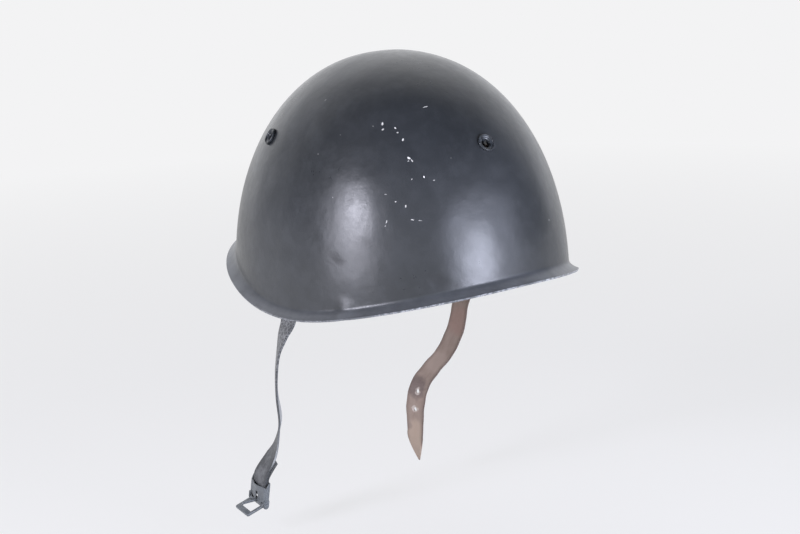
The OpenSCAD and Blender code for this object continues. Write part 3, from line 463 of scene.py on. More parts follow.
def shell_tree(dented):
    """The pressed shell: a full oval dome whose wall turns out into the rim. The grid's X runs round the
    plan from the rear, and its Y from the crown down to the rim's raw edge."""
    tree, size = geometry_tree("pressed_shell", shell_sizes)
    grid = add(tree, "GeometryNodeMeshGrid", [1.0, 1.0, size["Turns"], size["Rows"]])
    place = add(tree, "ShaderNodeSeparateXYZ", [add(tree, "GeometryNodeInputPosition")])
    turn = scaled(place.outputs[0], tau)
    down = maths("ADD", place.outputs[1], 0.5)
    sine = maths("SINE", turn)
    cosine = maths("COSINE", turn)

    is_front = maths("GREATER_THAN", cosine, 0.0)
    end_share = maths("POWER", cosine, 2.0)

    def by_side(front, side, rear):
        """A value that goes from the front's through the side's to the rear's round the plan."""
        end = add(tree, "GeometryNodeSwitch", [is_front, rear, front], input_type="FLOAT")
        reach = maths("SUBTRACT", end, side)
        return maths("MULTIPLY_ADD", reach, end_share, side)

    power = by_side(size["Front Power"], size["Side Power"], size["Rear Power"])
    flare = by_side(size["Flare Front"], size["Flare Side"], size["Flare Rear"])
    angle = by_side(size["Flare Front Angle"], size["Flare Side Angle"], size["Flare Rear Angle"])

    # Plan radius of the widest part
    half_length = add(tree, "GeometryNodeSwitch", [is_front, size["Half Back"], size["Half Front"]],
                      input_type="FLOAT")
    shares = []
    for wave, half in ((sine, size["Half Width"]), (cosine, half_length)):
        share = maths("DIVIDE", maths("ABSOLUTE", wave), half)
        shares.append(maths("POWER", share, size["Plan Power"]))
    root = maths("DIVIDE", -1.0, size["Plan Power"])
    plan = maths("POWER", maths("ADD", *shares), root)

    # Height of the rim's raw edge, above the side rim
    level = by_side(size["Rim Front"], 0.0, size["Rim Rear"])
    double = maths("SINE", scaled(turn, 2.0))
    quarter = scaled(double, double)
    side_share = scaled(sine, sine)
    skew = scaled(side_share, cosine)
    rim = maths("MULTIPLY_ADD", quarter, size["Rim Quarter"], level)
    rim = maths("MULTIPLY_ADD", skew, size["Rim Skew"], rim)
    drop = scaled(flare, maths("COSINE", angle))
    bend = maths("ADD", rim, drop)
    bend = maths("SUBTRACT", bend, size["Dome Base"])
    bend = maths("DIVIDE", bend, size["Dome Rise"])
    half_power = maths("DIVIDE", power, 2.0)
    last = maths("ARCCOSINE", maths("POWER", maths("MAXIMUM", bend, 0.0), half_power))
    inverse = maths("DIVIDE", 1.0, half_power)

    def dome(polar):
        """Radius and height of the dome at an angle from the crown."""
        out = maths("POWER", maths("SINE", polar), inverse)
        rise = maths("POWER", maths("COSINE", polar), inverse)
        radius = scaled(plan, out)
        height = maths("MULTIPLY_ADD", rise, size["Dome Rise"], size["Dome Base"])
        return add(tree, "ShaderNodeCombineXYZ", [radius, 0.0, height])

    dome_down = add(tree, "ShaderNodeMapRange", [down, 0.0, 1 - flare_share, 0.0, 1.0])
    on_dome = dome(scaled(last, dome_down))
    start = dome(last)
    before = dome(maths("SUBTRACT", last, radians(1)))
    heading = vectors("NORMALIZE", vectors("SUBTRACT", start, before))
    lead = scaled(flare, 0.4)
    bent = vectors("SCALE", heading, lead)
    bent = vectors("ADD", start, bent)
    slope = add(tree, "ShaderNodeCombineXYZ", [
        maths("SINE", angle), 0.0,
        scaled(maths("COSINE", angle), -1.0)])
    tip = vectors("SCALE", slope, flare)
    tip = vectors("ADD", start, tip)

    # The flare is a bend from the dome's end, drawn towards one point and out to the tip.
    out_share = add(tree, "ShaderNodeMapRange", [down, 1 - flare_share, 1.0, 0.0, 1.0])
    first = add(tree, "ShaderNodeMix", [out_share, start, bent], data_type="VECTOR")
    second = add(tree, "ShaderNodeMix", [out_share, bent, tip], data_type="VECTOR")
    on_flare = add(tree, "ShaderNodeMix", [out_share, first, second], data_type="VECTOR")
    past = maths("GREATER_THAN", down, 1 - flare_share)
    profile = add(tree, "ShaderNodeSeparateXYZ", [
        add(tree, "ShaderNodeMix", [past, on_dome, on_flare], data_type="VECTOR")])
    height = maths("SUBTRACT", profile.outputs[2], size["Seat Height"])
    backward = scaled(cosine, -1.0)
    spot = add(tree, "ShaderNodeCombineXYZ", [
        scaled(profile.outputs[0], sine),
        scaled(profile.outputs[0], backward), height])

    # A hand-finished pressing is never quite even.
    sway = add(tree, "ShaderNodeTexNoise", {"Vector": spot, "Scale": 14.0, "Detail": 1.0})
    sway = vectors("SUBTRACT", sway.outputs["Color"], (0.5, 0.5, 0.5))
    sway = vectors("SCALE", sway, size["Unevenness"])
    spot = vectors("ADD", spot, sway)

    edge = scaled(maths("SUBTRACT", 1.0, out_share), flare)
    skin = add(tree, "GeometryNodeStoreNamedAttribute",
               {"Geometry": grid.outputs[0], "Name": "edge"}, data_type="FLOAT", domain="POINT")
    feed(next(socket for socket in skin.inputs if socket.enabled and socket.name == "Value"), edge)
    skin = add(tree, "GeometryNodeSetPosition", {"Geometry": skin, "Position": spot})
    skin = add(tree, "GeometryNodeMergeByDistance", {"Geometry": skin, "Distance": weld})
    skin = add(tree, "GeometryNodeFlipFaces", [skin])
    for point, radius, depth in dented:
        away = vectors("DISTANCE", add(tree, "GeometryNodeInputPosition"), point)
        push = add(tree, "ShaderNodeMapRange", [away, 0.0, radius, -depth, 0.0],
                   interpolation_type="SMOOTHERSTEP")
        push = vectors("SCALE", add(tree, "GeometryNodeInputNormal"), push)
        skin = add(tree, "GeometryNodeSetPosition", {"Geometry": skin, "Offset": push})

    # The skin gets its thickness inwards, as one closed wall with the vent holes cut through it.
    inward = scaled(size["Wall"], -1.0)
    pushed = add(tree, "GeometryNodeExtrudeMesh", {"Mesh": skin, "Offset Scale": inward, "Individual": False})
    turned = add(tree, "GeometryNodeFlipFaces", [pushed])
    both = add(tree, "GeometryNodeJoinGeometry")
    feed(both.inputs[0], turned)
    feed(both.inputs[0], skin)
    closed = add(tree, "GeometryNodeMergeByDistance", {"Geometry": both, "Distance": weld})
    holes = add(tree, "GeometryNodeObjectInfo", {"Object": size["Holes"]})
    closed = add(tree, "GeometryNodeMeshBoolean", {"Mesh 1": closed, "Mesh 2": holes.outputs["Geometry"]},
                 operation="DIFFERENCE")
    bends = add(tree, "GeometryNodeInputMeshEdgeAngle").outputs[0]
    soft = maths("LESS_THAN", bends, soft_bend)
    shaded = add(tree, "GeometryNodeSetShadeSmooth", {"Geometry": closed}, domain="FACE")
    shaded = add(tree, "GeometryNodeSetShadeSmooth", {"Geometry": shaded, "Shade Smooth": soft},
                 domain="EDGE")
    close_tree(tree, shaded, size["Finish"])
    return tree


def facing(direction):
    """Turn that points +Z along a direction."""
    return Vector(direction).to_track_quat("Z", "Y").to_matrix().to_4x4()


def turned_solid(name, profile, steps=48):
    """Mesh of a profile of (radius, height) points in millimetres, turned round Z. The profile goes round a
    closed ring, or from the axis to the axis."""
    points = []
    faces = []
    closed = profile[0][0] > 0
    for i in range(steps):
        a = tau * i / steps
        points += [(r * MM * cos(a), r * MM * sin(a), z * MM) for r, z in profile]
    n = len(profile)
    for i in range(steps):
        for j in range(n if closed else n - 1):
            k = (j + 1) % n
            a, b = i * n, (i + 1) % steps * n
            faces.append((a + j, b + j, b + k, a + k))
    mesh = mesh_of(name, points, faces)
    if not closed:
        join_doubles(mesh)
    return mesh


def drill(radius, reach, place, steps=32):
    """A round solid that cuts a hole to both sides of a place, along its Z."""
    solid = turned_solid("drill", [(0, -reach), (radius, -reach), (radius, reach), (0, reach)], steps)
    solid.transform(place)
    return solid


def merged(name, meshes):
    """One mesh of several."""
    made = bpy.data.meshes.new(name)
    with edited(made) as work:
        for mesh in meshes:
            work.from_mesh(mesh)
    return made


def join_doubles(mesh, distance=1e-7):
    with edited(mesh) as work:
        bmesh.ops.remove_doubles(work, verts=work.verts, dist=distance)
        bmesh.ops.dissolve_degenerate(work, dist=distance, edges=work.edges)
        bmesh.ops.recalc_face_normals(work, faces=work.faces)


# Vents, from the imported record
mounts = {m["name"]: m for m in frame["record"]["mounts"]}
vent_sides = ("left", "right", "rear")
bore_wall_top = -0.6 * MM


def vent_frame(side):
    """The place on the shell's outer face and the outward turn of a vent."""
    mount = mounts["vent_" + side]
    out = Vector(mount["axis"])
    face = Vector(mount["pos_m"]) + out * (mount["dims"]["length_mm"] * MM / 2 - bore_wall_top)
    return Matrix.Translation(face) @ facing(out)


cutter = placed(merged("vent_holes", [drill(vent_hole_radius, vent_drill_reach, vent_frame(side), 48)
                                      for side in vent_sides]))
even = grown(shell_tree([]), Turns=121, Rows=90)
walls = BVHTree.FromPolygons([v.co for v in even.vertices], [p.vertices for p in even.polygons])
dented = [(place_on_shell(walls, turn, height)[0], radius * MM, depth * MM)
          for turn, height, radius, depth in dents]
shell_mesh = grown(shell_tree(dented), Holes=cutter, Finish=enamel(walls))
bpy.data.objects.remove(cutter)
piece(shell_mesh, "shell_skin", "helmet", ["shell"])

spring_steel = metal("phosphated_spring_steel", "#6a6e70", "#84888a", 0.45, 0.85, 0.006)
zinc = metal("dull_zinc", "#8b8d90", "#a3a5a7", 0.42, 0.9, 0.006)
painted_steel = metal("grey_painted_steel", "#5f6366", "#6b6f71", 0.4, 0.1, 0.004)
blackened = metal("blackened_wire", "#4a4d51", "#6f7275", 0.4, 0.7, 0.006)
brass = metal("dull_brass", "#8f7a4c", "#a68f5c", 0.4, 0.95, 0.005)
bush_paint = metal("worn_bush_enamel", "#24272b", "#3c4045", 0.24, 0.0, 0.003)
# Lighter steel for eased edges: rubbed paint there, and a painted highlight along the edges.
rubbed_and_highlit_edge = metal("rubbed_edge_with_painted_highlight", "#7b7e81", "#94979a", 0.42, 0.4, 0.004)
lining = lining_leather()
wool = fibres("wool_felt", 0.8, 6, 0.75, "#6d6353", "#968a74", 0.5, Roughness=0.95, Sheen_Weight=0.4)
lace_cotton = cotton()
linen = fibres("waxed_linen_thread", 0.6, 4, 0.7, "#8c7a55", "#c4b48a", 0.1, Roughness=0.65, Sheen_Weight=0.2)


def eased(mesh, bevel, finishes):
    """The mesh with its sharp edges eased. A second, lighter finish goes to the eased edges: rubbed paint,
    and a painted highlight along them.
    """
    mesh.materials.clear()
    for material in finishes:
        mesh.materials.append(material)
    mesh.shade_smooth()
    carrier = placed(mesh)
    ease = carrier.modifiers.new("ease", "BEVEL")
    ease.width = bevel
    ease.segments = 2
    ease.limit_method = "ANGLE"
    ease.angle_limit = radians(35)
    ease.use_clamp_overlap = True
    ease.harden_normals = True
    ease.material = len(finishes) - 1
    return settled(carrier)


def softened(node, name, body, finishes, bevel=0.15 * MM):
    """A CAD node's shape with its sharp edges eased, as a stamped or cut piece has."""
    mesh = frame["nodes"][node].data.copy()
    with edited(mesh) as work:
        bmesh.ops.remove_doubles(work, verts=work.verts, dist=1e-6)
        bmesh.ops.dissolve_limit(work, angle_limit=radians(1.5), verts=work.verts, edges=work.edges)
    return piece(eased(mesh, bevel, finishes), name, body, [node])


def copies_tree():
    """Copies of one shape, each at a point, with its Z along the point's aim and its X along the point's
    lie. Small random turns and sizes come from the seed."""
    tree, given = geometry_tree("copies_on_points", {
        "Shape": "NodeSocketObject", "Finish": "NodeSocketMaterial", "Uneven Turn": 0.0, "Uneven Size": 0.0,
        "Seed": 1})
    heads = [add(tree, "GeometryNodeInputNamedAttribute", {"Name": name}, data_type="FLOAT_VECTOR")
             for name in ("aim", "along")]
    turn = add(tree, "FunctionNodeAlignRotationToVector", {"Vector": heads[0].outputs[0]}, axis="Z")
    turn = add(tree, "FunctionNodeAlignRotationToVector", {"Rotation": turn, "Vector": heads[1].outputs[0]},
               axis="X", pivot_axis="Z")
    lowest = scaled(given["Uneven Turn"], -1.0)
    twist = add(tree, "FunctionNodeRandomValue", [lowest, given["Uneven Turn"], None, given["Seed"]],
                data_type="FLOAT")
    twist = add(tree, "FunctionNodeEulerToRotation", [add(tree, "ShaderNodeCombineXYZ", [0.0, 0.0, twist])])
    turn = add(tree, "FunctionNodeRotateRotation", [turn, twist], rotation_space="LOCAL")
    least = maths("SUBTRACT", 1.0, given["Uneven Size"])
    most = maths("ADD", 1.0, given["Uneven Size"])
    scale = add(tree, "FunctionNodeRandomValue", [least, most, None, given["Seed"]], data_type="FLOAT")
    shape = add(tree, "GeometryNodeObjectInfo", {"Object": given["Shape"]}).outputs["Geometry"]
    copied = add(tree, "GeometryNodeInstanceOnPoints", {
        "Points": given["Geometry"], "Instance": shape, "Rotation": turn, "Scale": scale})
    close_tree(tree, copied, given["Finish"])
    return tree


copying = copies_tree()


def copied(shape, places, material, **values):
    """Mesh of a shape's copies at places, each a point in metres, an aim and the way it lies."""
    points = bpy.data.meshes.new("places")
    points.from_pydata([place for place, _, _ in places], [], [])
    for i, name in enumerate(("aim", "along")):
        heading = points.attributes.new(name, "FLOAT_VECTOR", "POINT")
        for item, place in zip(heading.data, places):
            item.vector = place[i + 1]
    original = placed(shape)
    made = grown(copying, points, Shape=original, Finish=material, **values)
    bpy.data.objects.remove(original)
    return made


# Straps

def catmull(a, b, c, d, k):
    return 0.5 * (2 * b + (c - a) * k + (2 * a - 5 * b + 4 * c - d) * k * k
                  + (3 * b - a - 3 * c + d) * k ** 3)


def smooth_route(stations, per):
    rows = np.array(stations, float)
    ends = np.vstack([rows[0], rows, rows[-1]])
    made = [catmull(*ends[i:i + 4], s / per) for i in range(len(rows) - 1) for s in range(per)]
    return np.array(made + [rows[-1]])


# Loop bar of each strap: the middle of the loop's lower bar, and the outward and level directions there
hoop_half_width = 86.0
hoop_half_length = 106.0
anchor_forward = 18.0
hoop_height = 20.0
loop_wire = 2.6
strap_width = 18.0
strap_thick = 1.6
turn_gap = 0.25
anchor_thick = 1.1
seat_gap = 0.05
anchor = np.array([hoop_half_width * sqrt(1 - (anchor_forward / hoop_half_length) ** 2), -anchor_forward, 0])
anchor_turn = atan2(anchor[1] / hoop_half_length ** 2, anchor[0] / hoop_half_width ** 2)
barrel_out = seat_gap + anchor_thick + loop_wire / 2 + turn_gap
bar_drop = 21.0
fold_length = 24.0
leaf_out = (strap_thick + seat_gap) / 2
eye_radius = loop_wire / 2 + turn_gap + strap_thick / 2


def at_bar(side, out, down):
    """A station in a strap's fold, out from its loop bar and below it."""
    sign = 1 if side == "left" else -1
    x = anchor[0] + (barrel_out + out) * cos(anchor_turn)
    y = anchor[1] + (barrel_out + out) * sin(anchor_turn)
    return [sign * x, y, -bar_drop - down, -sign * degrees(anchor_turn), 1, 1]


def fold_stations(side):
    inner = [at_bar(side, -leaf_out, d) for d in (fold_length, 18, 12, 9)]
    arc = [at_bar(side, eye_radius * cos(radians(a)), -eye_radius * sin(radians(a)))
           for a in (200, 170, 140, 110, 90, 70, 40, 10, -20)]
    inner.append(at_bar(side, -eye_radius * 0.75, 4.5))
    outer = [at_bar(side, eye_radius * 0.75, 4.5)]
    outer += [at_bar(side, leaf_out, d) for d in (9, 12, 18, fold_length)]
    return inner + arc + outer


left_route = [
    [87.6, -19.5, -55, 0, 1, 1], [92, -21.5, -66.5, 14, 1, 1], [95.5, -23.5, -79, 30, 1, 1],
    [97, -25.5, -95, 33, 1, 1], [96.5, -27.5, -113, 34, 1, 1], [94, -29, -130, 36, 1, 1],
    [94, -31, -141, 35, 1, 1], [96.5, -33, -153.5, 26, 1, 1], [100.5, -35, -162, 12, 1, 1]]
right_route = [
    [-79.5, -26.5, -74, -1, 1, 1], [-75, -29.5, -97.5, -8, 1, 1], [-66, -32.5, -114.5, -8, 1, 1],
    [-55, -36, -126.5, -10, 1, 1], [-44.5, -39, -139, -12, 1, 1], [-41, -41, -155.5, -13, 1, 1],
    [-41, -43, -177, -4, 1, 1], [-41.5, -44, -184, -4, 0.95, 1], [-43, -44.5, -193, -4, 0.6, 1],
    [-45.5, -45, -203.5, -4, 0.06, 0.7]]

# Buckle: its pin's middle, its turn, and the stack of layers in the sleeve
buckle_at = Vector((109.5, -41, -196)) * MM
buckle_turn = [radians(a) for a in (-6, -6, -3)]
buckle_frame_at = (Matrix.Translation(buckle_at) @ Matrix.Rotation(buckle_turn[2], 4, "Z")
                   @ Matrix.Rotation(buckle_turn[1], 4, "Y") @ Matrix.Rotation(buckle_turn[0], 4, "X"))
pin_radius = 1.1
barrel_thick = 0.9
sleeve_thick = 0.8
sleeve_height = 15.0
knuckle = pin_radius + turn_gap + barrel_thick
sleeve_low = knuckle + 0.3
sleeve_top = sleeve_low + sleeve_height
front_inner = knuckle - sleeve_thick
strap_in = front_inner - 0.3 - strap_thick / 2
tail_share = 0.9
tail_in = strap_in - strap_thick / 2 - seat_gap - strap_thick * tail_share / 2
turn_back = 2.4
turn_mid = sleeve_low + turn_back + (strap_in - tail_in + strap_thick * (1 + tail_share) / 2) / 2
tail_stations = 3
tail_curl = 1.6


def in_buckle(x, z, share=1.0, thick=1.0):
    point = buckle_frame_at @ Vector((x * MM, 0, z * MM)) / MM
    return [*point, -degrees(buckle_turn[2]), share, thick]


sleeve_stations = [in_buckle(strap_in - 0.8, sleeve_top + 5), in_buckle(strap_in, sleeve_top - 2),
                   in_buckle(strap_in, turn_mid)]
rows_per_station = 6


def strap_section(half_width, half_thick):
    """Outline of a strap's cut end: flat faces and eased edges, as (across, out) points in order."""
    r = 0.75 * half_thick
    corner = [(cos(a), sin(a)) for a in np.linspace(0, pi / 2, 4)]
    right = [(half_width - r + r * c, half_thick - r + r * s) for c, s in corner]
    top = [(x, half_thick) for x in np.linspace(half_width - r, -half_width + r, 9)[1:-1]]
    left = [(-x, y) for x, y in reversed(right)]
    upper = right + top + left
    return upper + [(-x, -y) for x, y in upper]


def strap_axes(rows, i):
    """Directions across a strap and out of its face, at one row of its route."""
    ahead = rows[min(i + 1, len(rows) - 1)][:3] - rows[max(i - 1, 0)][:3]
    ahead /= np.linalg.norm(ahead)
    level = np.array([sin(radians(rows[i][3])), cos(radians(rows[i][3])), 0])
    across = level - level.dot(ahead) * ahead
    across /= np.linalg.norm(across)
    return across, np.cross(across, ahead)


def strap_mesh(name, rows, free, flesh_side, raw_edges, holes=()):
    """Ribbon of leather along its rows: x, y, z, turn of the width from Y, and shares of the full width
    and thickness. Between the free rows its edges waver and it cups a little, as old leather does. Its UV
    map gives metres along and across. Its flesh attribute tells the rough side, and how pale the cut edges
    are at the first and last free rows."""
    n = len(rows)
    travel = np.concatenate([[0], np.cumsum(np.linalg.norm(np.diff(rows[:, :3], axis=0), axis=1))])
    first, last = (travel[i] for i in free)
    held = 25  # length over which both ends are held straight
    points = []
    places = []
    rough = []
    for i, row in enumerate(rows):
        across, out = strap_axes(rows, i)
        loose = min(1, max(0, (travel[i] - first) / held), max(0, (last - travel[i]) / held))
        way = min(1, max(0, (travel[i] - first) / (last - first)))
        raw_edge = raw_edges[0] + (raw_edges[1] - raw_edges[0]) * way ** 4
        raw_edge *= max(0, 1 - max(0, travel[i] - last) / 7)
        half_width, half_thick = strap_width / 2 * row[4], strap_thick / 2 * row[5]
        for x, y in strap_section(half_width, half_thick):
            share = x / half_width
            waver = 0.22 * sin(travel[i] / 5.3 + 2 * share) + 0.15 * sin(travel[i] / 2.1 - share)
            cup = 0.3 * (share ** 2 - 0.4) + 0.2 * share * sin(travel[i] / 14)
            shifted = row[:3] + (x + loose * waver * share) * across
            points.append((shifted + (y + loose * flesh_side * cup) * out) * MM)
            places.append((travel[i] * MM, x * MM))
            on_face = abs(y) > 0.95 * half_thick
            rough.append((1.0 if y * flesh_side > 0 else 0.0) if on_face else raw_edge)
    ring = len(points) // n
    mesh = mesh_of(name, points, tube_faces(n, ring))
    lay_out(mesh, places)
    flesh = mesh.attributes.new("flesh", "FLOAT", "POINT")
    flesh.data.foreach_set("value", rough)
    return punched(mesh, holes) if holes else mesh


def bands(rings, ring, closed=False):
    """Faces between rings of points, each with the same number of points."""
    return [(i * ring + j, i * ring + (j + 1) % ring, (i + 1) % rings * ring + (j + 1) % ring,
             (i + 1) % rings * ring + j) for i in range(rings if closed else rings - 1) for j in range(ring)]


def tube_faces(rings, ring):
    """Faces of a tube with its two ends."""
    return bands(rings, ring) + [list(reversed(range(ring))), list(range((rings - 1) * ring, rings * ring))]


def lay_out(mesh, places):
    """Gives a mesh its UV map, from a place for each point."""
    lie = mesh.uv_layers.new(name="lie")
    for loop in mesh.loops:
        lie.data[loop.index].uv = places[loop.vertex_index]


def punched(mesh, holes):
    """Cuts round holes, given as (place, direction, radius), right through a mesh."""
    cutters = []
    for place, direction, radius in holes:
        cutters.append(placed(drill(radius, punch_reach, Matrix.Translation(place) @ facing(direction))))
    carrier = placed(mesh)
    for cutter in cutters:
        cut = carrier.modifiers.new("hole", "BOOLEAN")
        cut.operation = "DIFFERENCE"
        cut.object = cutter
        cut.solver = "EXACT"
    made = settled(carrier)
    for cutter in cutters:
        bpy.data.objects.remove(cutter)
    return made


hole_radius = 1.8
punch_reach = 6
fold_rows = (len(fold_stations("left")) - 1) * rows_per_station


def left_strap():
    """The left strap's rows: down through the sleeve, round the fold's end and back up as the tail."""
    rows = smooth_route(fold_stations("left") + left_route + sleeve_stations, rows_per_station)
    last = len(rows) - 1
    middle = (strap_in + tail_in) / 2
    reach = (strap_in - tail_in) / 2
    turn = [in_buckle(middle + reach * cos(a), turn_mid - reach * sin(a), 1, 0.9)
            for a in np.linspace(0, pi, 9)[1:-1]]
    tail = []
    steps = tail_stations * rows_per_station
    for i in range(last, last - steps - 1, -1):
        back = 2 * reach + tail_curl * ((last - i) / steps) ** 4
        tail.append([*(rows[i][:3] + back * strap_axes(rows, i)[1]), *rows[i][3:5], tail_share])
    return np.array([*rows, *turn, *tail]), (fold_rows, last - steps)


def right_hole(rows, station):
    """Place, direction and radius of an adjusting hole, counted in stations from the fold's end."""
    i = fold_rows + round(station * rows_per_station)
    return Vector(rows[i][:3]) * MM, Vector(strap_axes(rows, i)[1]), hole_radius


left_rows, left_free = left_strap()
grey_leather = leather("painted_grey_leather", ("#545556", "#383a3c", "#868787", "#abadad"),
                       0.5, 0.8, 0.1, 0.4, 0, ())
left_mesh = strap_mesh("left_strap", left_rows, left_free, 1, (0, 0.95))
right_rows = smooth_route(fold_stations("right") + right_route, rows_per_station)
right_holes = [right_hole(right_rows, station) for station in (5.4, 6.2)]


def strap_spot(rows, station, across):
    """A place on a strap's face, by its station and millimetres across."""
    i = fold_rows + round(station * rows_per_station)
    return Vector(rows[i][:3] + across * strap_axes(rows, i)[0]) * MM


right_marks = [(strap_spot(right_rows, station, across), radius, strength, colour)
               for station, across, radius, strength, colour in (
                   (1.6, 2, 14, 0.55, "#98786c"), (3.6, 1, 12, 0.6, "#ab998d"), (5.2, -2, 11, 0.8, "#665853"),
                   (7.1, 3, 14, 0.85, "#b19d8c"), (8.8, 2, 12, 0.8, "#ab9888"), (6.9, -8, 6, 0.6, "#85756d"))]
right_marks += [(place, 3.6, 0.9, "#cbbfb5") for place, _, _ in right_holes]
brown_leather = leather("worn_brown_leather", ("#806c61", "#56473f", "#a08e80", "#9b8a7e"),
                        0.62, 0.1, 1, 0.6, 0.45, right_marks)
right_mesh = strap_mesh("right_strap", right_rows, (fold_rows, len(right_rows) - 8), -1, (0, 0), right_holes)
piece(left_mesh, "left_strap_leather", "chin_strap_left", ["strap_left"], grey_leather)
piece(right_mesh, "right_strap_leather", "chin_strap_right", ["strap_right"], brown_leather)


# Rivets, bushes and stitches, as copies of one shape each

def rivet(grip, head_radius=2.8):
    """A domed head on its face at z = 0, a shank through the grip, and a rolled hollow tail."""
    tail = -grip - seat_gap
    profile = [(0, tail + 1.2), (0.85, tail + 1.2), (0.95, tail - 0.35), (1.2, tail - 0.58),
               (1.65, tail - 0.6), (2.0, tail - 0.42), (2.1, tail - 0.15), (1.9, tail), (1.5, tail),
               (1.5, seat_gap), (head_radius - 0.2, seat_gap), (head_radius - 0.02, seat_gap + 0.12)]
    profile += [(head_radius * cos(a), seat_gap + 1.1 * sin(a)) for a in np.linspace(0.25, pi / 2, 7)]
    profile[-1] = (0, profile[-1][1])
    return turned_solid("rivet", profile, 32)


def hoop_place(turn, out, height):
    """Place and outward aim on the hoop's outer face, at a turn from the front."""
    point = around(turn, hoop_half_width, hoop_half_length)
    normal = Vector((point.x / hoop_half_width ** 2, point.y / hoop_half_length ** 2, 0)).normalized()
    return (point + normal * out + UP * height) * MM, normal, UP


def anchor_place(side, out, along, height):
    """The same on a strap's anchor, along it from its middle."""
    sign = 1 if side == "left" else -1
    normal = Vector((cos(anchor_turn), sin(anchor_turn), 0))
    point = Vector(anchor) + normal * out + UP.cross(normal) * along + UP * height
    return Vector((sign * point.x, point.y, point.z)) * MM, Vector((sign * normal.x, normal.y, 0)), UP


def bracket_place(side, out, height):
    """The same where a bracket's upright plane meets the hoop, inwards from its vent."""
    at = vent_frame(side)
    start = at.translation / MM
    heading = Vector((at.col[2].x, at.col[2].y, 0)).normalized()
    squash = Vector((1 / hoop_half_width ** 2, 1 / hoop_half_length ** 2))
    steep = heading.x ** 2 * squash.x + heading.y ** 2 * squash.y
    slant = start.x * heading.x * squash.x + start.y * heading.y * squash.y
    off = start.x ** 2 * squash.x + start.y ** 2 * squash.y - 1
    reach = (-slant + sqrt(slant ** 2 - steep * off)) / steep
    point = Vector((start.x, start.y, 0)) + heading * (reach + out) + UP * height
    return point * MM, heading, UP


headband_turns = (20, 45, 112, 148)
rivet_level = hoop_height / 2
lining_places = [hoop_place(sign * turn, 0, rivet_level) for sign in (1, -1) for turn in headband_turns]
bracket_thick = 1.2
bracket_places = [bracket_place(side, seat_gap + bracket_thick, height)
                  for side in vent_sides for height in (5, 15)]
anchor_places = [anchor_place(side, seat_gap + anchor_thick, along, rivet_level)
                 for side in ("left", "right") for along in (-4, 4)]
band_grip = 5.25
for node, grip, places, slot, material in (
        ("headband_rivets", band_grip, lining_places, "brass", brass),
        ("bracket_rivets", 2.5, bracket_places, "rivet_steel", zinc),
        ("anchor_rivets", 2.4, anchor_places, "rivet_steel", zinc)):
    heads = copied(rivet(grip), places, material, **{"Uneven Turn": pi, "Uneven Size": 0.015, "Seed": 3})
    piece(heads, node + "_heads", "helmet", [node])
for side in ("left", "right"):
    at = anchor_place(side, barrel_out + leaf_out + strap_thick / 2, 0, -bar_drop - 16)
    head = copied(rivet(2 * leaf_out + strap_thick, 4.0), [at], zinc)
    piece(head, "strap_rivet_head_" + side, "chin_strap_" + side, ["strap_rivet_" + side])

# Vent bush: a dish with a rolled lip, which runs down to the bore in a funnel, and a clinched inner end
bore, tube, flange, flange_top, lip = 3.0, 3.9, 6.3, 1.9, 0.5
washer_top = 3.1
clinch_top = 3.95
throat = Vector((bore, -0.6))
lip_at = Vector((flange - lip, flange_top - lip))
rim = lip_at - Vector((lip, 0))


def bush():
    profile = [throat, (bore, -clinch_top - 0.6), (bore + 0.25, -clinch_top - 0.8),
               (bore + 2.1, -clinch_top - 0.8), (bore + 2.4, -clinch_top - 0.5), (bore + 2.4, -clinch_top),
               (tube, -clinch_top), (tube, seat_gap), (flange - 0.15, seat_gap), (flange, seat_gap + 0.15)]
    profile += [(lip_at.x + lip * cos(a), lip_at.y + lip * sin(a)) for a in np.linspace(0, pi, 13)]
    for k in np.linspace(0, 1, 14)[1:-1]:
        down = (rim * (1 - k) ** 3 + (rim - Vector((0.4, 0.9))) * 3 * k * (1 - k) ** 2
                + (throat + Vector((0, 1.55))) * 3 * k * k * (1 - k) + throat * k ** 3)
        profile.append(tuple(down))
    return turned_solid("bush", profile, 96)


def washer():
    profile = [(tube + 0.1, -washer_top - 0.8), (6.45, -washer_top - 0.8), (6.6, -washer_top - 0.65),
               (6.6, -washer_top - 0.15), (6.45, -washer_top), (tube + 0.1, -washer_top)]
    return turned_solid("washer", profile, 72)


for side in vent_sides:
    at = vent_frame(side)
    place = [(at.translation, at.col[2].xyz, UP)]
    piece(copied(bush(), place, bush_paint), "bush_" + side, "helmet", ["vent_bush_" + side])
    piece(copied(washer(), place, zinc), "washer_" + side, "helmet", ["vent_washer_" + side])


# Lining

band_low, band_high = -3.0, 38.0
band_out, band_in = 3.2, 5.0
felt_out, felt_in = 1.1, 3.1


def oval_point(turn, inset, height):
    """A point of the lining, inset from the hoop's outer face."""
    return around(turn, hoop_half_width - inset, hoop_half_length - inset) + UP * height


def swept_oval(name, section, turns=240):
    """Closed band whose section, as (inset, height) points of a turn, goes round the oval."""
    rings = [[oval_point(turn, inset, height) * MM for inset, height in section(turn)]
             for turn in np.arange(turns) * 360 / turns]
    faces = bands(turns, len(rings[0]), closed=True)
    return mesh_of(name, [p for ring in rings for p in ring], faces)


def band_section(turn):
    """The headband's leather: soft edges and a face that has taken the shape of a head."""
    a = radians(turn)
    worn = 0.18 * sin(5 * a) + 0.14 * sin(13 * a + 1)
    top = band_high - 0.3 + 0.25 * sin(9 * a)
    ease = [(cos(b), sin(b)) for b in np.linspace(0, pi, 7)]
    half = (band_in - band_out) / 2
    middle = (band_in + band_out) / 2
    over = [(middle - half * c, top - half + half * s) for c, s in ease]
    inside = [(band_in + worn * sin(pi * k), top - half - (top - half - band_low - half) * k)
              for k in np.linspace(0, 1, 7)[1:-1]]
    under = [(middle + half * c, band_low + half - half * s) for c, s in ease]
    outside = [(band_out, band_low + half + (top - 2 * half - band_low) * k)
               for k in np.linspace(0, 1, 5)[1:-1]]
    return over + inside + under + outside


shake = np.random.default_rng(11)


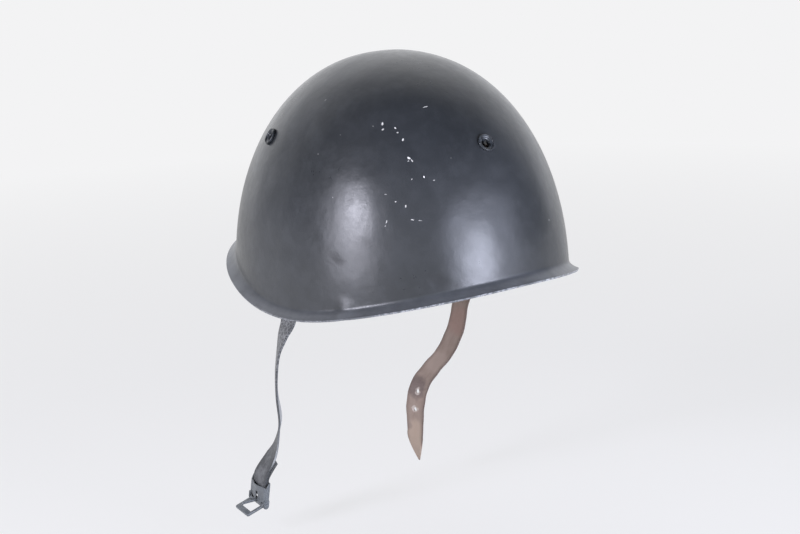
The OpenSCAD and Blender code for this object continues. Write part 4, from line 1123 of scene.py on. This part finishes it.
def felt_section(turn):
    """Felt with frayed, uneven edges."""
    def rough(reach):
        return float(shake.uniform(-reach, reach))
    middle = (felt_out + felt_in) / 2
    return [(felt_out, 1.4), (felt_out, 10), (felt_out, 18.6), (middle - 0.5, 18.9 + rough(0.3)),
            (middle + 0.5, 18.9 + rough(0.3)), (felt_in, 18.5 + rough(0.2)), (felt_in - 0.05, 10),
            (felt_in, 1.5 + rough(0.2)), (middle + 0.5, 1.1 + rough(0.3)), (middle - 0.5, 1.1 + rough(0.3))]


stitch_rows, stitch_sides = 9, 8


def stitch():
    """One stitch of thread, lying along X and dipping into the leather at both ends."""
    points = []
    for k in np.linspace(-1, 1, stitch_rows):
        width = 0.3 * sqrt(max(0.02, 1 - k ** 4))
        points += [(1.5 * k * MM, width * cos(b) * MM, (width * sin(b) + 0.12 - 0.4 * k ** 2) * MM)
                   for b in np.arange(stitch_sides) * tau / stitch_sides]
    return mesh_of("stitch", points, tube_faces(stitch_rows, stitch_sides))


def stitch_places(height, spacing=4.0):
    """Places of a row of stitches on the headband's inner face."""
    girth = pi * (hoop_half_width + hoop_half_length - 2 * band_in)
    count = round(girth / spacing)
    places = []
    for i in range(count):
        turn = 360 * i / count
        ahead = (oval_point(turn + 0.5, band_in, 0) - oval_point(turn - 0.5, band_in, 0)).normalized()
        places.append((oval_point(turn, band_in + 0.02, height) * MM, ahead.cross(UP) * -1, ahead))
    return places


# Crown tongues: each rises from the headband and leans in to the lace ring.
tongue_count = 8
tongue_share = 0.85
tongue_thick = 1.6
tongue_foot = 22.0
tongue_out = 5.1
crown_height = 98.0
lace_ring = 28.0
tongue_end = 23.0
lace_hole = 2.6


def tongue_point(turn, rise, inset):
    base = oval_point(turn, tongue_out, 0)
    length = base.length
    out = base.normalized()
    tall = crown_height - tongue_foot
    share = (length - tongue_end) * cos(rise) + tongue_end
    lean = (out * cos(rise) * tall + UP * sin(rise) * length).normalized()
    return out * share + UP * (tongue_foot + tall * sin(rise)) - lean * inset


def tongue(number):
    """A finger of soft leather with a round tip and two punched holes for the lace."""
    middle = 360 * (number - 0.5) / tongue_count
    half = 180 / tongue_count * tongue_share
    rows, steps = 34, 14
    points = []
    for rise in np.linspace(0, pi / 2, rows):
        reach = tongue_point(middle, rise, 0)
        near_tip = max(0, (lace_ring - Vector((reach.x, reach.y)).length) / (lace_ring - tongue_end))
        width = half * sqrt(1 - 0.8 * near_tip ** 2)
        sag = 0.5 * sin(2 * rise) * sin(3 * number)
        side = np.linspace(-1, 1, steps)
        cup = [0.7 * k * k * sin(2 * rise) ** 2 for k in side]
        points += [tongue_point(middle + width * k, rise, tongue_thick + sag + c) * MM
                   for k, c in zip(side, cup)]
        points += [tongue_point(middle + width * k, rise, sag + c) * MM
                   for k, c in zip(reversed(side), reversed(cup))]
    mesh = mesh_of("tongue", points, tube_faces(rows, 2 * steps))
    holes = []
    for sign in (-1, 1):
        place = around(middle + sign * 90 / tongue_count, lace_ring, lace_ring) + UP * (crown_height - 2)
        holes.append((place * MM, UP, lace_hole))
    return eased(punched(mesh, holes), 0.45 * MM, [lining])


def cord_mesh(name, path, radius, closed=False, sides=12):
    """A round cord along a path in millimetres. Its UV map gives metres along and round."""
    n = len(path)
    points = []
    places = []
    travel = 0.0
    for i, at in enumerate(path):
        following = path[(i + 1) % n] if closed else path[min(i + 1, n - 1)]
        before = path[i - 1] if closed or i > 0 else path[0]
        ahead = (following - before).normalized()
        side = ahead.cross(UP).normalized()
        over = side.cross(ahead)
        travel += (at - before).length if i else 0
        for j in range(sides):
            b = tau * j / sides
            points.append((at + radius * (side * cos(b) + over * sin(b))) * MM)
            places.append((travel * MM, b * radius * MM))
    ends = [] if closed else [list(range(sides)), list(reversed(range((n - 1) * sides, n * sides)))]
    mesh = mesh_of(name, points, bands(n, sides, closed) + ends)
    lay_out(mesh, places)
    return mesh


def lace_point(turn):
    wave = 3.2 * cos(tongue_count * radians(turn))
    return around(turn, lace_ring, lace_ring) + UP * (crown_height - 0.3 - tongue_thick / 2 + wave)


ring_steps, knot_steps, end_steps = 320, 60, 16


def lace():
    """The crown lace through the tongues' holes, its knot at the rear and the knot's two ends."""
    ring = [lace_point(360 * i / ring_steps) for i in range(ring_steps)]
    knot_at = lace_point(180)
    knot = [knot_at + Vector((1.5 * (k - 0.5) * 2 + 0.5 * sin(7 * tau * k), 1.25 * cos(3 * tau * k),
                              1.25 * sin(3 * tau * k))) for k in np.linspace(0, 1, knot_steps)]
    ends = []
    for sign in (-1, 1):
        ends.append([knot_at + Vector((sign * (1.2 + 3.5 * k), -1.5 - 3 * k, 1.0 - 2.5 * k - 5 * k * k))
                     for k in np.linspace(0, 1, end_steps)])
    cords = [cord_mesh("ring", ring, 1.0, closed=True), cord_mesh("knot", knot, 1.0)]
    cords += [cord_mesh("end", end, 0.95) for end in ends]
    return merged("lace", cords)


band_mesh = swept_oval("headband", band_section)
band_mesh.materials.append(lining)
stitches = [copied(stitch(), stitch_places(height), linen,
                   **{"Uneven Turn": 0.08, "Uneven Size": 0.06, "Seed": seed})
            for height, seed in ((1.0, 4), (34.0, 5))]
piece(band_mesh, "headband_leather", "helmet", ["headband"])
piece(merged("stitches", stitches), "headband_stitches", "helmet", (), linen)
piece(swept_oval("felt", felt_section, 360), "felt_strip", "helmet", ["felt_band"], wool)
for number in range(1, 9):
    piece(tongue(number), "tongue_%d" % number, "helmet", ["crown_tongue_%d" % number])
piece(lace(), "lace", "helmet", ["crown_lace"], lace_cotton)

# CAD nodes with eased edges
steel = [spring_steel, rubbed_and_highlit_edge]
painted = [painted_steel, rubbed_and_highlit_edge]
for side in vent_sides:
    softened("liner_bracket_" + side, "bracket_" + side, "helmet", steel)
softened("liner_hoop", "hoop", "helmet", steel)
for side in ("left", "right"):
    softened("strap_anchor_" + side, "anchor_" + side, "helmet", steel)
    softened("strap_loop_" + side, "loop_" + side, "loop_" + side, [blackened], 0.1 * MM)
for node, body, bevel in (
        ("buckle_sleeve", "chin_strap_left", 0.12), ("buckle_sleeve_rivet", "chin_strap_left", 0.12),
        ("buckle_pin", "chin_strap_left", 0.12), ("buckle_frame", "frame", 0.25),
        ("buckle_prong", "prong", 0.25)):
    softened(node, node + "_metal", body, painted, bevel * MM)


# Floor, world and lamps. The floor lies below everything that the hanging buckle can reach.

floor_level = cad_box[0][2] - 18 * MM
backdrop = "#f3f3f4"


def floor():
    """Matt white floor. To the camera and in reflections it is mostly as bright as the backdrop, with a
    soft shadow, and fades into the backdrop. From below it can't be seen."""
    side = 6.0
    corners = [(x * side, y * side, floor_level) for x, y in ((-1, -1), (1, -1), (1, 1), (-1, 1))]
    mesh = mesh_of("floor", corners, [(0, 1, 2, 3)], closed=False)
    made, tree, shader, coords = finish("matt_white_floor", Roughness=0.9, Specular_IOR_Level=0.1)
    feed(shader.inputs["Base Color"], linear("#f2f2f3"))
    rays = add(tree, "ShaderNodeLightPath").outputs
    seen = maths("MAXIMUM", rays["Is Camera Ray"], rays["Is Glossy Ray"])
    plain = add(tree, "ShaderNodeEmission", {"Color": linear(backdrop), "Strength": 1.0})
    own = add(tree, "ShaderNodeMixShader", [0.68, shader.outputs[0], plain])
    away = vectors("LENGTH", coords)
    clear = add(tree, "ShaderNodeBsdfTransparent")
    faded = add(tree, "ShaderNodeMixShader", [spread(away, 0.5, 1.6, 0, 1), own, plain])
    above = add(tree, "ShaderNodeMixShader", [seen, shader.outputs[0], faded])
    below = add(tree, "ShaderNodeNewGeometry").outputs["Backfacing"]
    shown = add(tree, "ShaderNodeMixShader", [below, above, clear])
    feed(tree.nodes["Material Output"].inputs["Surface"], shown)
    mesh.materials.append(made)
    ground = placed(mesh, "floor")


def world():
    """Plain studio surroundings: a pale backdrop behind the object, a dim room on the camera's side,
    and a near-white background to the camera."""
    made = bpy.data.worlds.new("studio")
    bpy.context.scene.world = made
    made.use_nodes = True
    tree = made.node_tree
    tree.nodes.clear()
    rays = add(tree, "ShaderNodeLightPath")
    direction = add(tree, "ShaderNodeTexCoord").outputs["Generated"]
    back = (-sin(camera_turn), cos(camera_turn), 0.15)
    behind = vectors("DOT_PRODUCT", direction, back)
    rise = add(tree, "ShaderNodeSeparateXYZ", [direction]).outputs[2]
    room = scaled(spread(rise, 0.15, 0.85, 0.8, 0.12), spread(behind, 0.0, -0.8, 0.25, 1.05))
    screen = spread(behind, 0.25, 0.75, 0, 1.45)
    strength = maths("MAXIMUM", room, screen)
    light = add(tree, "ShaderNodeBackground", {"Color": linear("#f4f5f8"), "Strength": strength})
    shown = add(tree, "ShaderNodeBackground", {"Color": linear(backdrop), "Strength": 1.0})
    mixed = add(tree, "ShaderNodeMixShader", [rays.outputs["Is Camera Ray"], light, shown])
    add(tree, "ShaderNodeOutputWorld", [mixed])


def lamp(name, turn, rise, distance, size, power, tint="#e2e2f0"):
    """A soft box aimed at the helmet. Turn and rise are degrees, as for the camera."""
    light = bpy.data.lights.new(name, "AREA")
    light.shape = "RECTANGLE"
    light.size, light.size_y = size
    light.energy = power
    light.color = linear(tint)[:3]
    made = placed(light, name)
    rise = radians(rise)
    out = around(turn, cos(rise), cos(rise)) + UP * sin(rise)
    made.matrix_world = Matrix.Translation(out * distance + Vector((0, 0, 0.02))) @ facing(out)


floor()
world()
lamp("left_soft_box", 92, 17.5, 1.8, (0.44, 0.34), 18)
lamp("left_low_panel", 90, -3, 1.8, (0.85, 1.2), 22)
lamp("right_soft_box", -172.5, -1.5, 1.2, (0.48, 0.56), 12.5, "#dadff2")
lamp("right_wide_panel", -168, 5, 1.4, (1.5, 1.0), 14, "#d6dcf4")

bpy.context.scene.view_settings.view_transform = "Standard"
